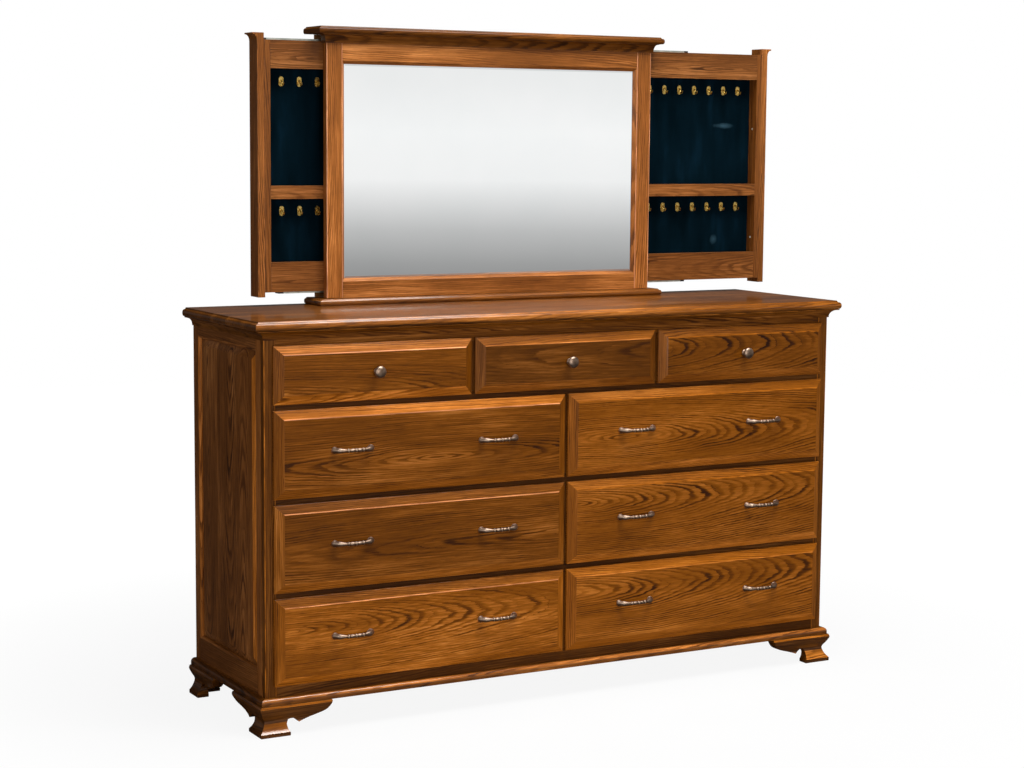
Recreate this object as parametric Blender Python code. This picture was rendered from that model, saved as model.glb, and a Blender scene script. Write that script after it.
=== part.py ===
# Nine-drawer oak dresser with a mirror unit whose two jewellery cases slide out at the sides.
# Metres, +Z up. The working frame has x = 0 on the dresser's centre line, y = 0 on the front of
# the face frame with +y towards the wall, and z = 0 on the floor. One parent empty then moves
# everything so that the origin lies on the floor under the centre of the whole object.
import math

import bmesh
import bpy
from mathutils import Matrix, Vector

# Clearances
GAP = 0.0003  # between two pieces that touch
JOINT_DEPTH = 0.001  # how far two shapes of one piece reach into each other
SLIDE_GAP = 0.0004  # between the nested members of a metal slide
CASE_CLEARANCE = 0.0005  # between a case and the mirror frame that it passes
BOX_SIDE_CLEARANCE = 0.002  # between a drawer box and the stiles beside it
BOX_TOP_CLEARANCE = 0.012  # above a drawer box
EASE = 0.0015  # small flat taken off a sharp edge

# Cabinet
TOP_WIDTH = 1.727
TOP_DEPTH = 0.4941
TOP_THICKNESS = 0.0225
CABINET_HEIGHT = 1.010
SIDE_OVERHANG = 0.0294
FRONT_OVERHANG = 0.0254
FACE_FRAME_THICKNESS = 0.020
BACK_PANEL_THICKNESS = 0.006
WEB_THICKNESS = 0.020  # the boards that the drawers run on
GUIDE_HEIGHT = 0.015

# Frame-and-panel sides
SIDE_THICKNESS = 0.020
SIDE_FRONT_STILE = 0.0292
SIDE_BACK_STILE = 0.0316
SIDE_TOP_RAIL = 0.0467
SIDE_BOTTOM_RAIL = 0.0758
STICKING_WIDTH = 0.0075  # the moulded inner edge of the side frames
PANEL_RECESS = 0.009  # of the raised panel's thin edge
PANEL_THICKNESS = 0.006  # at that edge
PANEL_MARGIN = 0.0235  # width of the slope round the panel's field
PANEL_RISE = 0.008

# Mouldings
BED_MOULDING_HEIGHT = 0.0232
BED_MOULDING_PROJECTION = 0.0235
BED_MOULDING_LIP = 0.003
BASE_MOULDING_HEIGHT = 0.0178
BASE_MOULDING_PROJECTION = 0.0148
BASE_ROUND = 0.010  # radius on the base moulding's upper edge
FILLET = 0.0025  # the flats above and below a cove
NOSE_COVE_SHARE = 0.2  # of a moulded board's thickness, taken by its cove

# Drawer fronts, which overlay the face frame
FRONT_SIDE_MARGIN = 0.0215  # of face frame showing beside the outer fronts
FRONT_BOTTOM_MARGIN = 0.0443
FRONT_TOP_MARGIN = 0.0370
FRONT_GAP_X = 0.0096
FRONT_GAP_Z = 0.0136
FRONT_OVERLAY = 0.008
FRONT_THICKNESS = 0.0195
FRONT_BEVEL_WIDTH = 0.020
FRONT_BEVEL_DROP = 0.0105
FIELD_STEP = 0.0014
SMALL_FRONT_HEIGHT = 0.1421
LARGE_ROWS = ("lower", "middle", "upper")  # from the floor up

# Drawer boxes
BOX_SIDE = 0.014
BOX_BOTTOM = 0.007
BOX_BOTTOM_RISE = 0.010
BOX_REAR_ROOM = 0.022  # behind a closed box

# Pulls and knobs
PULL_LENGTH = 0.096  # between the centres of its two feet
PULL_PROJECTION = 0.026
PULL_RADIUS = 0.0052
PULL_SPACING = 0.404  # between the two pulls of one drawer
PULL_RISE = 0.0055  # above the middle of the front
KNOB_RADIUS = 0.015
KNOB_PROJECTION = 0.0255

# Ogee bracket feet
FOOT_HEIGHT = 0.0762
FOOT_INSIDE = 0.0115  # how far the bracket reaches in from the carcase face
FOOT_PAD_OUT = 0.020
FOOT_NECK_OUT = 0.005
FOOT_BULGE_OUT = 0.0205
FOOT_WING = 0.1895  # from the pad's outer corner to the wing's tip
FOOT_PAD_WIDTH = 0.077
BACK_BRACKET_THICKNESS = 0.018
BACK_BRACKET_INSET = 0.001

# Mirror unit
PLINTH_WIDTH = 1.051
PLINTH_DEPTH = 0.1075
PLINTH_THICKNESS = 0.0167
UNIT_DEPTH = 0.0807  # from the front of the mirror frame to the wall
UNIT_HEIGHT = 0.683  # from the plinth to the cap
MIRROR_WIDTH = 0.991
MIRROR_FRAME_THICKNESS = 0.0225
MIRROR_STILE = 0.0455
MIRROR_BOTTOM_RAIL = 0.0437
MIRROR_TOP_RAIL = 0.068
MIRROR_SLOPE = 0.0075  # width of the slope round the glass
GLASS_RECESS = 0.010
GLASS_THICKNESS = 0.004
GLASS_BEVEL = 0.012
GLASS_BEVEL_DROP = 0.0009
CAP_THICKNESS = 0.0187
CAP_SIDE_OVERHANG = 0.0295
CAP_FRONT_OVERHANG = 0.024
CAP_MOULDING_HEIGHT = 0.024
CAP_MOULDING_LIP = 0.0045
CAP_MOULDING_PROJECTION = 0.016

# Jewellery cases
CASE_WIDTH = 0.424
CASE_END_ROOM = 0.019  # for the slides above and below a case
CASE_FACE_THICKNESS = 0.0175
CASE_DEPTH = 0.036
CASE_STILE = 0.0165
CASE_TOP_RAIL = 0.072
CASE_MIDDLE_RAIL = 0.034
CASE_BOTTOM_RAIL = 0.077
CASE_UPPER_OPENING = 0.299
CASE_LIP = 0.009  # how far the front rails stand past the end boards
CASE_BOARD = 0.012
CASE_WALL_INSET = 0.0005  # of the boards behind the face frame
CASE_BACK_THICKNESS = 0.008
POST_THICKNESS = 0.0195
POST_DEPTH = 0.053
POST_FOOT = 0.0125  # how far a post reaches below its case
POST_HEAD_ROOM = 0.0015
CROWN_PROJECTION = 0.013
CROWN_HEIGHT = 0.021
CROWN_FLAT = 0.002

# Hooks in the cases
HOOKS_IN_ROW = 7
HOOK_SPACING = 0.0505
HOOK_DROP = 0.032  # from an opening's top to its row of hooks
HOOK_WIDTH = 0.0125
HOOK_HEIGHT = 0.025
HOOK_PLATE = 0.0022
HOOK_WIRE = 0.0022
HOOK_REACH = 0.016

# Telescopic slides above and below the cases
TRACK_LENGTH = 0.414
TRACK_WIDTH = 0.030
TRACK_DEPTH = 0.0115
TRACK_SETBACK = 0.0015  # behind a case's face frame
TRACK_INSET = 0.0355  # of a track's end from the mirror's side
SLIDE_WALL = 0.0015
SLIDE_STACK = 0.0165  # from a case's end board to the rail that carries the track
LINK_LENGTH = 0.400
LINK_DEPTH = 0.012
LINK_SETBACK = 0.0455  # of a shut link's end from the mirror's side
LEFT_UPPER_LINK_LEAD = 0.045  # how far the upper link of the left case runs ahead of the lower one
CASE_MEMBER_SETBACK = 0.010  # of the member on a case from its post
CASE_MEMBER_MARGIN = 0.0015  # from its other end to the case's end
CASE_MEMBER_HEIGHT = 0.0085

# How far the slides are drawn out at rest, as in the photograph
STAGE_TRAVEL = 0.198
LEFT_LINK_OUT = 0.162
LEFT_CASE_OUT = 0.0
RIGHT_LINK_OUT = STAGE_TRAVEL
RIGHT_CASE_OUT = STAGE_TRAVEL

# Places that follow from the sizes
CARCASE_HALF = TOP_WIDTH / 2 - SIDE_OVERHANG
CARCASE_DEPTH = TOP_DEPTH - FRONT_OVERHANG
CARCASE_TOP = CABINET_HEIGHT - TOP_THICKNESS - GAP
SIDE_INNER = CARCASE_HALF - SIDE_THICKNESS
INTERIOR_FRONT = FACE_FRAME_THICKNESS + GAP
INTERIOR_BACK = CARCASE_DEPTH - BACK_PANEL_THICKNESS - GAP
FIELD_Y = -FRONT_THICKNESS - GAP
FRONTS_BOTTOM = FOOT_HEIGHT + FRONT_BOTTOM_MARGIN
FRONTS_TOP = CABINET_HEIGHT - TOP_THICKNESS - FRONT_TOP_MARGIN
LARGE_ROWS_HEIGHT = FRONTS_TOP - SMALL_FRONT_HEIGHT - FRONTS_BOTTOM
LARGE_FRONT_HEIGHT = LARGE_ROWS_HEIGHT / len(LARGE_ROWS) - FRONT_GAP_Z
PLINTH_TOP = CABINET_HEIGHT + GAP + PLINTH_THICKNESS
CAP_UNDERSIDE = PLINTH_TOP + UNIT_HEIGHT
MIRROR_HALF = MIRROR_WIDTH / 2
MIRROR_FRONT = CARCASE_DEPTH - UNIT_DEPTH
MIRROR_BACK = MIRROR_FRONT + MIRROR_FRAME_THICKNESS
CASE_FRONT = MIRROR_BACK + CASE_CLEARANCE
CASE_FACE_BACK = CASE_FRONT + CASE_FACE_THICKNESS
CASE_INSIDE_BACK = CASE_FRONT + CASE_DEPTH
CASE_BOTTOM = PLINTH_TOP + CASE_END_ROOM
CASE_TOP = CAP_UNDERSIDE - CASE_END_ROOM
LOWER_SEAT = CASE_BOTTOM + CASE_LIP  # underside of a case's bottom board
UPPER_SEAT = CASE_TOP - CASE_LIP  # top of its top board
UPPER_OPENING_FLOOR = CASE_TOP - CASE_TOP_RAIL - CASE_UPPER_OPENING
LOWER_OPENING_TOP = UPPER_OPENING_FLOOR - CASE_MIDDLE_RAIL
TRACK_FRONT = CASE_FACE_BACK + TRACK_SETBACK
TRACK_MIDDLE = TRACK_FRONT + TRACK_WIDTH / 2
TRACK_END = MIRROR_HALF - TRACK_INSET
CLOSED_POST = MIRROR_HALF + CASE_CLEARANCE  # inner face of a post when its case is shut
CLOSED_LINK_END = MIRROR_HALF - LINK_SETBACK
POST_LOW = CASE_BOTTOM - POST_FOOT
POST_HIGH = CAP_UNDERSIDE - POST_HEAD_ROOM

FINISHES = {
    "stained_oak": ((0.195, 0.072, 0.018), 0.38, 0.0),
    "pale_maple": ((0.56, 0.38, 0.20), 0.55, 0.0),
    "back_ply": ((0.30, 0.17, 0.08), 0.65, 0.0),
    "aged_bronze": ((0.17, 0.12, 0.085), 0.35, 1.0),
    "mirror_silver": ((0.92, 0.93, 0.94), 0.02, 1.0),
    "zinc_steel": ((0.55, 0.55, 0.55), 0.35, 1.0),
    "navy_velvet": ((0.006, 0.009, 0.018), 0.95, 0.0),
}


def clear_scene():
    for obj in list(bpy.data.objects):
        bpy.data.objects.remove(obj, do_unlink=True)


def empty(name, parent, location):
    """A carrier for pieces that move together: not a piece of its own."""
    holder = bpy.data.objects.new(name, None)
    bpy.context.scene.collection.objects.link(holder)
    holder.parent = parent
    holder.location = location
    return holder


def mesh_object(name, bm, parent):
    bmesh.ops.remove_doubles(bm, verts=bm.verts[:], dist=1e-6)
    bmesh.ops.recalc_face_normals(bm, faces=bm.faces[:])
    mesh = bpy.data.meshes.new(name)
    bm.to_mesh(mesh)
    bm.free()
    obj = bpy.data.objects.new(name, mesh)
    bpy.context.scene.collection.objects.link(obj)
    obj.parent = parent
    return obj


def piece(name, bm, parent, finish, rounded=False):
    """One solid of the dresser, with its own material."""
    obj = mesh_object(name, bm, parent)
    colour, roughness, metallic = FINISHES[finish]
    material = bpy.data.materials.new(f"{name} {finish}")
    material.use_nodes = True
    shader = material.node_tree.nodes["Principled BSDF"]
    shader.inputs["Base Color"].default_value = (*colour, 1.0)
    shader.inputs["Roughness"].default_value = roughness
    shader.inputs["Metallic"].default_value = metallic
    obj.data.materials.append(material)
    if rounded:
        obj.data.shade_smooth()
        obj.data.set_sharp_from_angle(angle=math.radians(35))
    return obj


def combine(obj, tool_bm, operation):
    """Unites a hidden tool shape with obj, or cuts it away from obj."""
    tool = mesh_object(f"{obj.name}_{operation.lower()}_tool", tool_bm, obj.parent)
    tool.hide_render = True
    tool.display_type = "WIRE"
    modifier = obj.modifiers.new(operation.title(), "BOOLEAN")
    modifier.operation = operation
    modifier.solver = "EXACT"
    modifier.object = tool
    return obj


def loft(loops, bm=None):
    """Skins equal loops of points one after another and caps both ends."""
    bm = bm or bmesh.new()
    rows = [[bm.verts.new(point) for point in loop] for loop in loops]
    bm.faces.new(rows[0][::-1])
    bm.faces.new(rows[-1])
    count = len(loops[0])
    for near, far in zip(rows, rows[1:]):
        for i in range(count):
            j = (i + 1) % count
            bm.faces.new((near[i], near[j], far[j], far[i]))
    return bm


def block(corner, opposite, bm=None):
    """A box between two opposite corners."""
    bm = bm or bmesh.new()
    size = [abs(b - a) for a, b in zip(corner, opposite)]
    middle = [(a + b) / 2 for a, b in zip(corner, opposite)]
    matrix = Matrix.Translation(middle) @ Matrix.Diagonal((*size, 1.0))
    bmesh.ops.create_cube(bm, size=1.0, matrix=matrix)
    return bm


def upright_loop(half_x, low, high, y):
    """A rectangle in a vertical plane, centred on x = 0."""
    return [(-half_x, y, low), (half_x, y, low), (half_x, y, high), (-half_x, y, high)]


def boards(rects, front, back):
    """Boards glued edge to edge into one frame: rectangles (x0, x1, z0, z1), made as thick as the
    distance from front to back."""
    bm = bmesh.new()
    x_cuts = sorted({round(value, 7) for rect in rects for value in rect[:2]})
    z_cuts = sorted({round(value, 7) for rect in rects for value in rect[2:]})
    verts = {}

    def vert(x, z):
        if (x, z) not in verts:
            verts[(x, z)] = bm.verts.new((x, front, z))
        return verts[(x, z)]

    for x0, x1 in zip(x_cuts, x_cuts[1:]):
        for z0, z1 in zip(z_cuts, z_cuts[1:]):
            x, z = (x0 + x1) / 2, (z0 + z1) / 2
            if any(r[0] < x < r[1] and r[2] < z < r[3] for r in rects):
                bm.faces.new((vert(x0, z0), vert(x1, z0), vert(x1, z1), vert(x0, z1)))
    made = bmesh.ops.extrude_face_region(bm, geom=bm.faces[:])["geom"]
    moved = [item for item in made if isinstance(item, bmesh.types.BMVert)]
    bmesh.ops.translate(bm, verts=moved, vec=Vector((0, back - front, 0)))
    bmesh.ops.recalc_face_normals(bm, faces=bm.faces[:])
    bmesh.ops.dissolve_limit(bm, angle_limit=0.01, verts=bm.verts[:], edges=bm.edges[:])
    return bm


def prism(outline, start, end, along="Y"):
    """A closed outline extruded from start to end. Its points are (x, z) along Y, and (y, z) along X."""
    if along == "Y":
        return loft([[(a, level, b) for a, b in outline] for level in (start, end)])
    return loft([[(level, a, b) for a, b in outline] for level in (start, end)])


def arc(centre, radii, start, end, steps):
    """Points on an elliptical arc, with the angles in degrees."""
    points = []
    for i in range(steps + 1):
        angle = math.radians(start + (end - start) * i / steps)
        points.append((centre[0] + radii[0] * math.cos(angle), centre[1] + radii[1] * math.sin(angle)))
    return points


def smooth_line(points, steps):
    """A Catmull-Rom curve through the points."""
    padded = [points[0], *points, points[-1]]
    curve = [points[0]]
    for before, start, end, after in zip(padded, padded[1:], padded[2:], padded[3:]):
        for i in range(1, steps + 1):
            t = i / steps
            point = []
            for a, b, c, d in zip(before, start, end, after):
                square = 2 * a - 5 * b + 4 * c - d
                cube = 3 * b - a - 3 * c + d
                point.append(0.5 * (2 * b + (c - a) * t + square * t**2 + cube * t**3))
            curve.append(tuple(point))
    return curve


def nosing(thickness):
    """A moulded edge from top to bottom, as (outward, height from the top): a cove over a round nose."""
    cove = NOSE_COVE_SHARE * thickness
    half = (thickness - cove) / 2
    reach = 0.55 * half
    hollow = arc((-reach, 0), (cove, -cove), 180, 90, 3)
    nose = arc((-reach, -cove - half), (reach, half), 90, -90, 8)
    return hollow + nose[1:]


def cove_section(low, high, lip, projection):
    """A cove moulding's section as (outward, z), with a flat above and below the cove."""
    reach = projection - FILLET
    rise = high - low - 2 * FILLET
    cove = arc((reach, low + FILLET), (reach - lip, rise), 180, 90, 6)
    return [(GAP, high), (GAP, low), (lip, low), *cove, (projection, high - FILLET), (projection, high)]


def edged_board(half_width, front, back, top, thickness):
    """A board with the moulded edge on its front and both ends, mitred at the corners."""
    loops = []
    for out, drop in nosing(thickness):
        x, y, z = half_width + out, front - out, top + drop
        loops.append([(-x, y, z), (x, y, z), (x, back, z), (-x, back, z)])
    return loft(loops)


def wrapped_moulding(half_width, front, back, section):
    """A moulding round the front and both ends, mitred at the corners."""
    stations = [
        [(-half_width - out, back, z) for out, z in section],
        [(-half_width - out, front - out, z) for out, z in section],
        [(half_width + out, front - out, z) for out, z in section],
        [(half_width + out, back, z) for out, z in section],
    ]
    return loft(stations)


def turned(stations, sides, bm=None):
    """A round piece skinned over rings, each given as (centre, radius, across, up)."""
    loops = []
    for centre, radius, across, up in stations:
        loop = []
        for i in range(sides):
            angle = 2 * math.pi * (i + 0.5) / sides
            loop.append(centre + across * (radius * math.cos(angle)) + up * (radius * math.sin(angle)))
        loops.append(loop)
    return loft(loops, bm=bm)


def drawer_places():
    """Each drawer as (name, x middle, z middle, width, height)."""
    usable = 2 * (CARCASE_HALF - FRONT_SIDE_MARGIN)
    drawers = []
    bottom = FRONTS_BOTTOM
    for row in (*LARGE_ROWS, "top"):
        names = ("left", "middle", "right") if row == "top" else ("left", "right")
        height = SMALL_FRONT_HEIGHT if row == "top" else LARGE_FRONT_HEIGHT
        width = (usable - FRONT_GAP_X * (len(names) - 1)) / len(names)
        for i, side in enumerate(names):
            middle = (i - (len(names) - 1) / 2) * (width + FRONT_GAP_X)
            drawers.append((f"{row}_{side}", middle, bottom + height / 2, width, height))
        bottom += height + FRONT_GAP_Z
    return drawers


def opening(drawer):
    """The hole in the face frame behind a drawer front, as (x0, x1, z0, z1)."""
    _, x, z, width, height = drawer
    half_x, half_z = width / 2 - FRONT_OVERLAY, height / 2 - FRONT_OVERLAY
    return x - half_x, x + half_x, z - half_z, z + half_z


def make_top(parent):
    top = edged_board(TOP_WIDTH / 2, -FRONT_OVERHANG, CARCASE_DEPTH, CABINET_HEIGHT, TOP_THICKNESS)
    piece("top_board", top, parent, "stained_oak", rounded=True)
    low = CARCASE_TOP - BED_MOULDING_HEIGHT
    section = cove_section(low, CARCASE_TOP, BED_MOULDING_LIP, BED_MOULDING_PROJECTION)
    moulding = wrapped_moulding(CARCASE_HALF, 0, CARCASE_DEPTH, section)
    piece("bed_moulding", moulding, parent, "stained_oak", rounded=True)


def make_side(name, side, parent):
    """A frame of stiles and rails with moulded inner edges, round a panel whose margin slopes up to
    a raised field."""
    front, back = INTERIOR_FRONT, CARCASE_DEPTH
    low, high = FOOT_HEIGHT, CARCASE_TOP
    loops = []

    def add_loop(x, y0, y1, z0, z1):
        x *= side
        loops.append([(x, y0, z0), (x, y1, z0), (x, y1, z1), (x, y0, z1)])

    add_loop(SIDE_INNER, front, back, low, high)
    add_loop(CARCASE_HALF, front, back, low, high)
    hole = (front + SIDE_FRONT_STILE, back - SIDE_BACK_STILE, low + SIDE_BOTTOM_RAIL, high - SIDE_TOP_RAIL)
    edge = arc((0, 0), (STICKING_WIDTH, STICKING_WIDTH), 90, 0, 3)
    for inset, height in edge:
        x = CARCASE_HALF - STICKING_WIDTH + height
        add_loop(x, hole[0] + inset, hole[1] - inset, hole[2] + inset, hole[3] - inset)
    panel = [value + sign * STICKING_WIDTH for value, sign in zip(hole, (1, -1, 1, -1))]
    face = CARCASE_HALF - PANEL_RECESS
    add_loop(face, *panel)
    field = [value + sign * PANEL_MARGIN for value, sign in zip(panel, (1, -1, 1, -1))]
    add_loop(face + PANEL_RISE, *field)
    frame = piece(name, loft(loops), parent, "stained_oak")
    corner = (side * (SIDE_INNER - JOINT_DEPTH), panel[0], panel[2])
    opposite = (side * (face - PANEL_THICKNESS), panel[1], panel[3])
    return combine(frame, block(corner, opposite), "DIFFERENCE")


def make_face_frame(drawers, parent):
    """Stiles and rails: everything in front of the carcase that isn't a drawer opening."""
    holes = [opening(drawer) for drawer in drawers]
    x_lines = sorted({-CARCASE_HALF, CARCASE_HALF, *(x for hole in holes for x in hole[:2])})
    z_lines = sorted({FOOT_HEIGHT, CARCASE_TOP, *(z for hole in holes for z in hole[2:])})
    rects = []
    for x0, x1 in zip(x_lines, x_lines[1:]):
        for z0, z1 in zip(z_lines, z_lines[1:]):
            x, z = (x0 + x1) / 2, (z0 + z1) / 2
            if not any(hole[0] < x < hole[1] and hole[2] < z < hole[3] for hole in holes):
                rects.append((x0, x1, z0, z1))
    piece("face_frame", boards(rects, 0, FACE_FRAME_THICKNESS), parent, "stained_oak")


def make_interior(drawers, parent):
    """The boards that the drawers run on, the partition between the large drawers, the dividers of
    the top row, and the guides that fill the room beside the outer boxes."""
    inner = SIDE_INNER - GAP
    floors = sorted({round(opening(drawer)[2], 6) for drawer in drawers})
    lowest, highest = floors[0], floors[-1]
    rects = [(-inner, inner, floor - WEB_THICKNESS, floor) for floor in floors]
    left, right = opening(drawers[0]), opening(drawers[1])
    rects.append((left[1], right[0], lowest - WEB_THICKNESS, highest))
    top_row = [opening(drawer) for drawer in drawers if drawer[0].startswith("top")]
    for before, after in zip(top_row, top_row[1:]):
        rects.append((before[1], after[0], highest - WEB_THICKNESS, CARCASE_TOP))
    for floor in floors:
        rects.append((-inner, left[0], floor - WEB_THICKNESS, floor + GUIDE_HEIGHT))
        rects.append((right[1], inner, floor - WEB_THICKNESS, floor + GUIDE_HEIGHT))
    piece("carcase_interior", boards(rects, INTERIOR_FRONT, INTERIOR_BACK), parent, "pale_maple")


def make_carcase(drawers, parent):
    make_face_frame(drawers, parent)
    make_side("left_side", -1, parent)
    make_side("right_side", 1, parent)
    make_interior(drawers, parent)
    inner = SIDE_INNER - GAP
    corner = (-inner, CARCASE_DEPTH - BACK_PANEL_THICKNESS, FOOT_HEIGHT)
    piece("back_panel", block(corner, (inner, CARCASE_DEPTH, CARCASE_TOP)), parent, "back_ply")


def make_base_moulding(parent):
    """A board on edge with its upper edge rounded over."""
    top = FOOT_HEIGHT + BASE_MOULDING_HEIGHT
    section = [(GAP, top), (GAP, FOOT_HEIGHT), (BASE_MOULDING_PROJECTION, FOOT_HEIGHT)]
    centre = (BASE_MOULDING_PROJECTION - BASE_ROUND, top - BASE_ROUND)
    section += arc(centre, (BASE_ROUND, BASE_ROUND), 0, 90, 6)
    moulding = wrapped_moulding(CARCASE_HALF, 0, CARCASE_DEPTH, section)
    piece("base_moulding", moulding, parent, "stained_oak", rounded=True)


def foot_profile():
    """The ogee of a bracket foot as (outward, z): a square pad, a waist and a swelling under the moulding.
    Its heights are shares of the foot's own height."""
    top = FOOT_HEIGHT - GAP
    ogee = smooth_line(
        [
            (FOOT_PAD_OUT, 0.13 * top),
            (0.55 * FOOT_PAD_OUT, 0.27 * top),
            (FOOT_NECK_OUT, 0.50 * top),
            (0.65 * FOOT_BULGE_OUT, 0.70 * top),
            (FOOT_BULGE_OUT, 0.89 * top),
            (0.88 * FOOT_BULGE_OUT, top),
        ],
        3,
    )
    return [(-FOOT_INSIDE, 0.0), (FOOT_PAD_OUT - EASE, 0.0), (FOOT_PAD_OUT, EASE), *ogee, (-FOOT_INSIDE, top)]


def scroll_cut():
    """What the saw takes from under a foot's wing, as (distance from the pad's outer corner, z).
    The curves run through shares of the wing's length past the pad and of the foot's height."""
    pad, high = FOOT_PAD_WIDTH, FOOT_HEIGHT
    span = FOOT_WING - pad

    def curve(shares, steps):
        return smooth_line([(pad + across * span, up * high) for across, up in shares], steps)

    cusp = (0.25, 0.37)
    edge = curve([(0.01, 0.10), (-0.03, 0.22), (-0.04, 0.36)], 2)
    notch = curve([(0.0, 0.49), (0.12, 0.51), cusp], 2)
    rise = curve([cusp, (0.42, 0.45), (0.73, 0.58), (0.90, 0.71), (1.0, 0.95)], 3)
    far, over, under = FOOT_WING + FOOT_PAD_OUT, 1.2 * high, -0.2 * high
    return [(pad, under), *edge, *notch, *rise[1:], (far, over), (far, under)]


def side_scroll(foot, side, outline):
    """Saws the wing that runs along the side, from points (y, z)."""
    inside, outside = CARCASE_HALF - 2 * FOOT_INSIDE, CARCASE_HALF + 2 * FOOT_PAD_OUT
    combine(foot, prism(outline, side * inside, side * outside, along="X"), "DIFFERENCE")


def make_front_foot(name, side, parent):
    """Two moulded wings mitred at the corner."""
    wing = FOOT_WING - FOOT_PAD_OUT
    profile = foot_profile()
    stations = [
        [(side * (CARCASE_HALF + out), wing, z) for out, z in profile],
        [(side * (CARCASE_HALF + out), -out, z) for out, z in profile],
        [(side * (CARCASE_HALF - wing), -out, z) for out, z in profile],
    ]
    foot = piece(name, loft(stations), parent, "stained_oak", rounded=True)
    corner = CARCASE_HALF + FOOT_PAD_OUT
    across = [(side * (corner - along), z) for along, z in scroll_cut()]
    combine(foot, prism(across, -2 * FOOT_PAD_OUT, 2 * FOOT_INSIDE), "DIFFERENCE")
    side_scroll(foot, side, [(along - FOOT_PAD_OUT, z) for along, z in scroll_cut()])


def make_back_foot(name, side, parent):
    """A moulded wing along the side and a plain bracket board across the back."""
    wing = FOOT_WING - FOOT_PAD_OUT
    profile = foot_profile()
    stations = []
    for y in (CARCASE_DEPTH - wing, CARCASE_DEPTH):
        stations.append([(side * (CARCASE_HALF + out), y, z) for out, z in profile])
    foot = piece(name, loft(stations), parent, "stained_oak", rounded=True)
    side_scroll(foot, side, [(CARCASE_DEPTH - along + FOOT_PAD_OUT, z) for along, z in scroll_cut()])
    back = CARCASE_DEPTH - BACK_BRACKET_INSET
    corner = (side * (CARCASE_HALF - wing), back - BACK_BRACKET_THICKNESS, BACK_BRACKET_INSET)
    opposite = (side * (CARCASE_HALF - FOOT_INSIDE / 2), back, FOOT_HEIGHT - BACK_BRACKET_INSET)
    combine(foot, block(corner, opposite), "UNION")
    across = [(side * (CARCASE_HALF + FOOT_PAD_OUT - along), z) for along, z in scroll_cut()]
    cutter = prism(across, back - BACK_BRACKET_THICKNESS - FOOT_INSIDE, back + FOOT_INSIDE)
    combine(foot, cutter, "DIFFERENCE")


def front_solid(width, height):
    """A drawer front in one board: a wide bevel round a raised field, with a small step between."""
    edge = FIELD_Y + FIELD_STEP + FRONT_BEVEL_DROP
    stations = [
        (0, -GAP),
        (0, edge + EASE),
        (EASE, edge),
        (FRONT_BEVEL_WIDTH, FIELD_Y + FIELD_STEP),
        (FRONT_BEVEL_WIDTH + EASE / 2, FIELD_Y),
    ]
    loops = []
    for inset, y in stations:
        loops.append(upright_loop(width / 2 - inset, inset - height / 2, height / 2 - inset, y))
    return loft(loops)


def box_solid(half_width, low, high):
    """A drawer box: four sides round a bottom that lies above their lower edges."""
    back = INTERIOR_BACK - BOX_REAR_ROOM
    stations = [
        (BOX_SIDE, low + BOX_BOTTOM_RISE),
        (BOX_SIDE, low),
        (0, low),
        (0, high),
        (BOX_SIDE, high),
        (BOX_SIDE, low + BOX_BOTTOM_RISE + BOX_BOTTOM),
    ]
    loops = []
    for inset, z in stations:
        x, y0, y1 = half_width - inset, inset, back - inset
        loops.append([(-x, y0, z), (x, y0, z), (x, y1, z), (-x, y1, z)])
    return loft(loops)


def pull_solid(middle):
    """A bow pull: it swells out of two round feet, thins towards the middle, and has two barrels
    between three collars. Each pair is an angle along the bow and a share of the pull's radius."""
    half = PULL_LENGTH / 2
    rise = PULL_PROJECTION - PULL_RADIUS
    shape = [(0, 1.70), (9, 1.38), (20, 1.05), (32, 1.20), (45, 0.95), (58, 0.62)]
    shape += [(64, 0.66), (67, 1.00), (70, 0.66), (80, 0.88), (87, 0.66), (90, 1.00)]
    shape += [(180 - angle, share) for angle, share in reversed(shape[:-1])]
    stations = []
    for angle, share in shape:
        t = math.radians(angle)
        centre = Vector((middle - half * math.cos(t), FIELD_Y - GAP - rise * math.sin(t), PULL_RISE))
        along = Vector((half * math.sin(t), -rise * math.cos(t), 0)).normalized()
        stations.append((centre, PULL_RADIUS * share, Vector((-along.y, along.x, 0)), Vector((0, 0, 1))))
    return turned(stations, 10)


def knob_solid():
    """A mushroom knob with a collar on its neck. Each pair is a share of the knob's radius and a share
    of its projection."""
    shape = [(0.60, 0.0), (0.56, 0.10), (0.36, 0.22), (0.34, 0.36), (0.52, 0.42), (0.50, 0.50)]
    shape += [(0.90, 0.58), (1.00, 0.70), (0.95, 0.84), (0.72, 0.95), (0.40, 1.0)]
    stations = []
    for share, height in shape:
        centre = Vector((0, FIELD_Y - GAP - KNOB_PROJECTION * height, 0))
        stations.append((centre, KNOB_RADIUS * share, Vector((1, 0, 0)), Vector((0, 0, 1))))
    return turned(stations, 16)


def make_drawer(drawer, parent):
    name, x, z, width, height = drawer
    holder = empty(f"{name}_drawer", parent, (x, 0, z))
    piece(f"{name}_drawer_front", front_solid(width, height), holder, "stained_oak")
    x0, x1, z0, z1 = opening(drawer)
    half = (x1 - x0) / 2 - BOX_SIDE_CLEARANCE
    box = box_solid(half, z0 - z + GAP, z1 - z - BOX_TOP_CLEARANCE)
    piece(f"{name}_drawer_box", box, holder, "pale_maple")
    if name.startswith("top"):
        piece(f"{name}_knob", knob_solid(), holder, "aged_bronze", rounded=True)
        return
    for side, place in (("left", -PULL_SPACING / 2), ("right", PULL_SPACING / 2)):
        piece(f"{name}_{side}_pull", pull_solid(place), holder, "aged_bronze", rounded=True)


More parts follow.
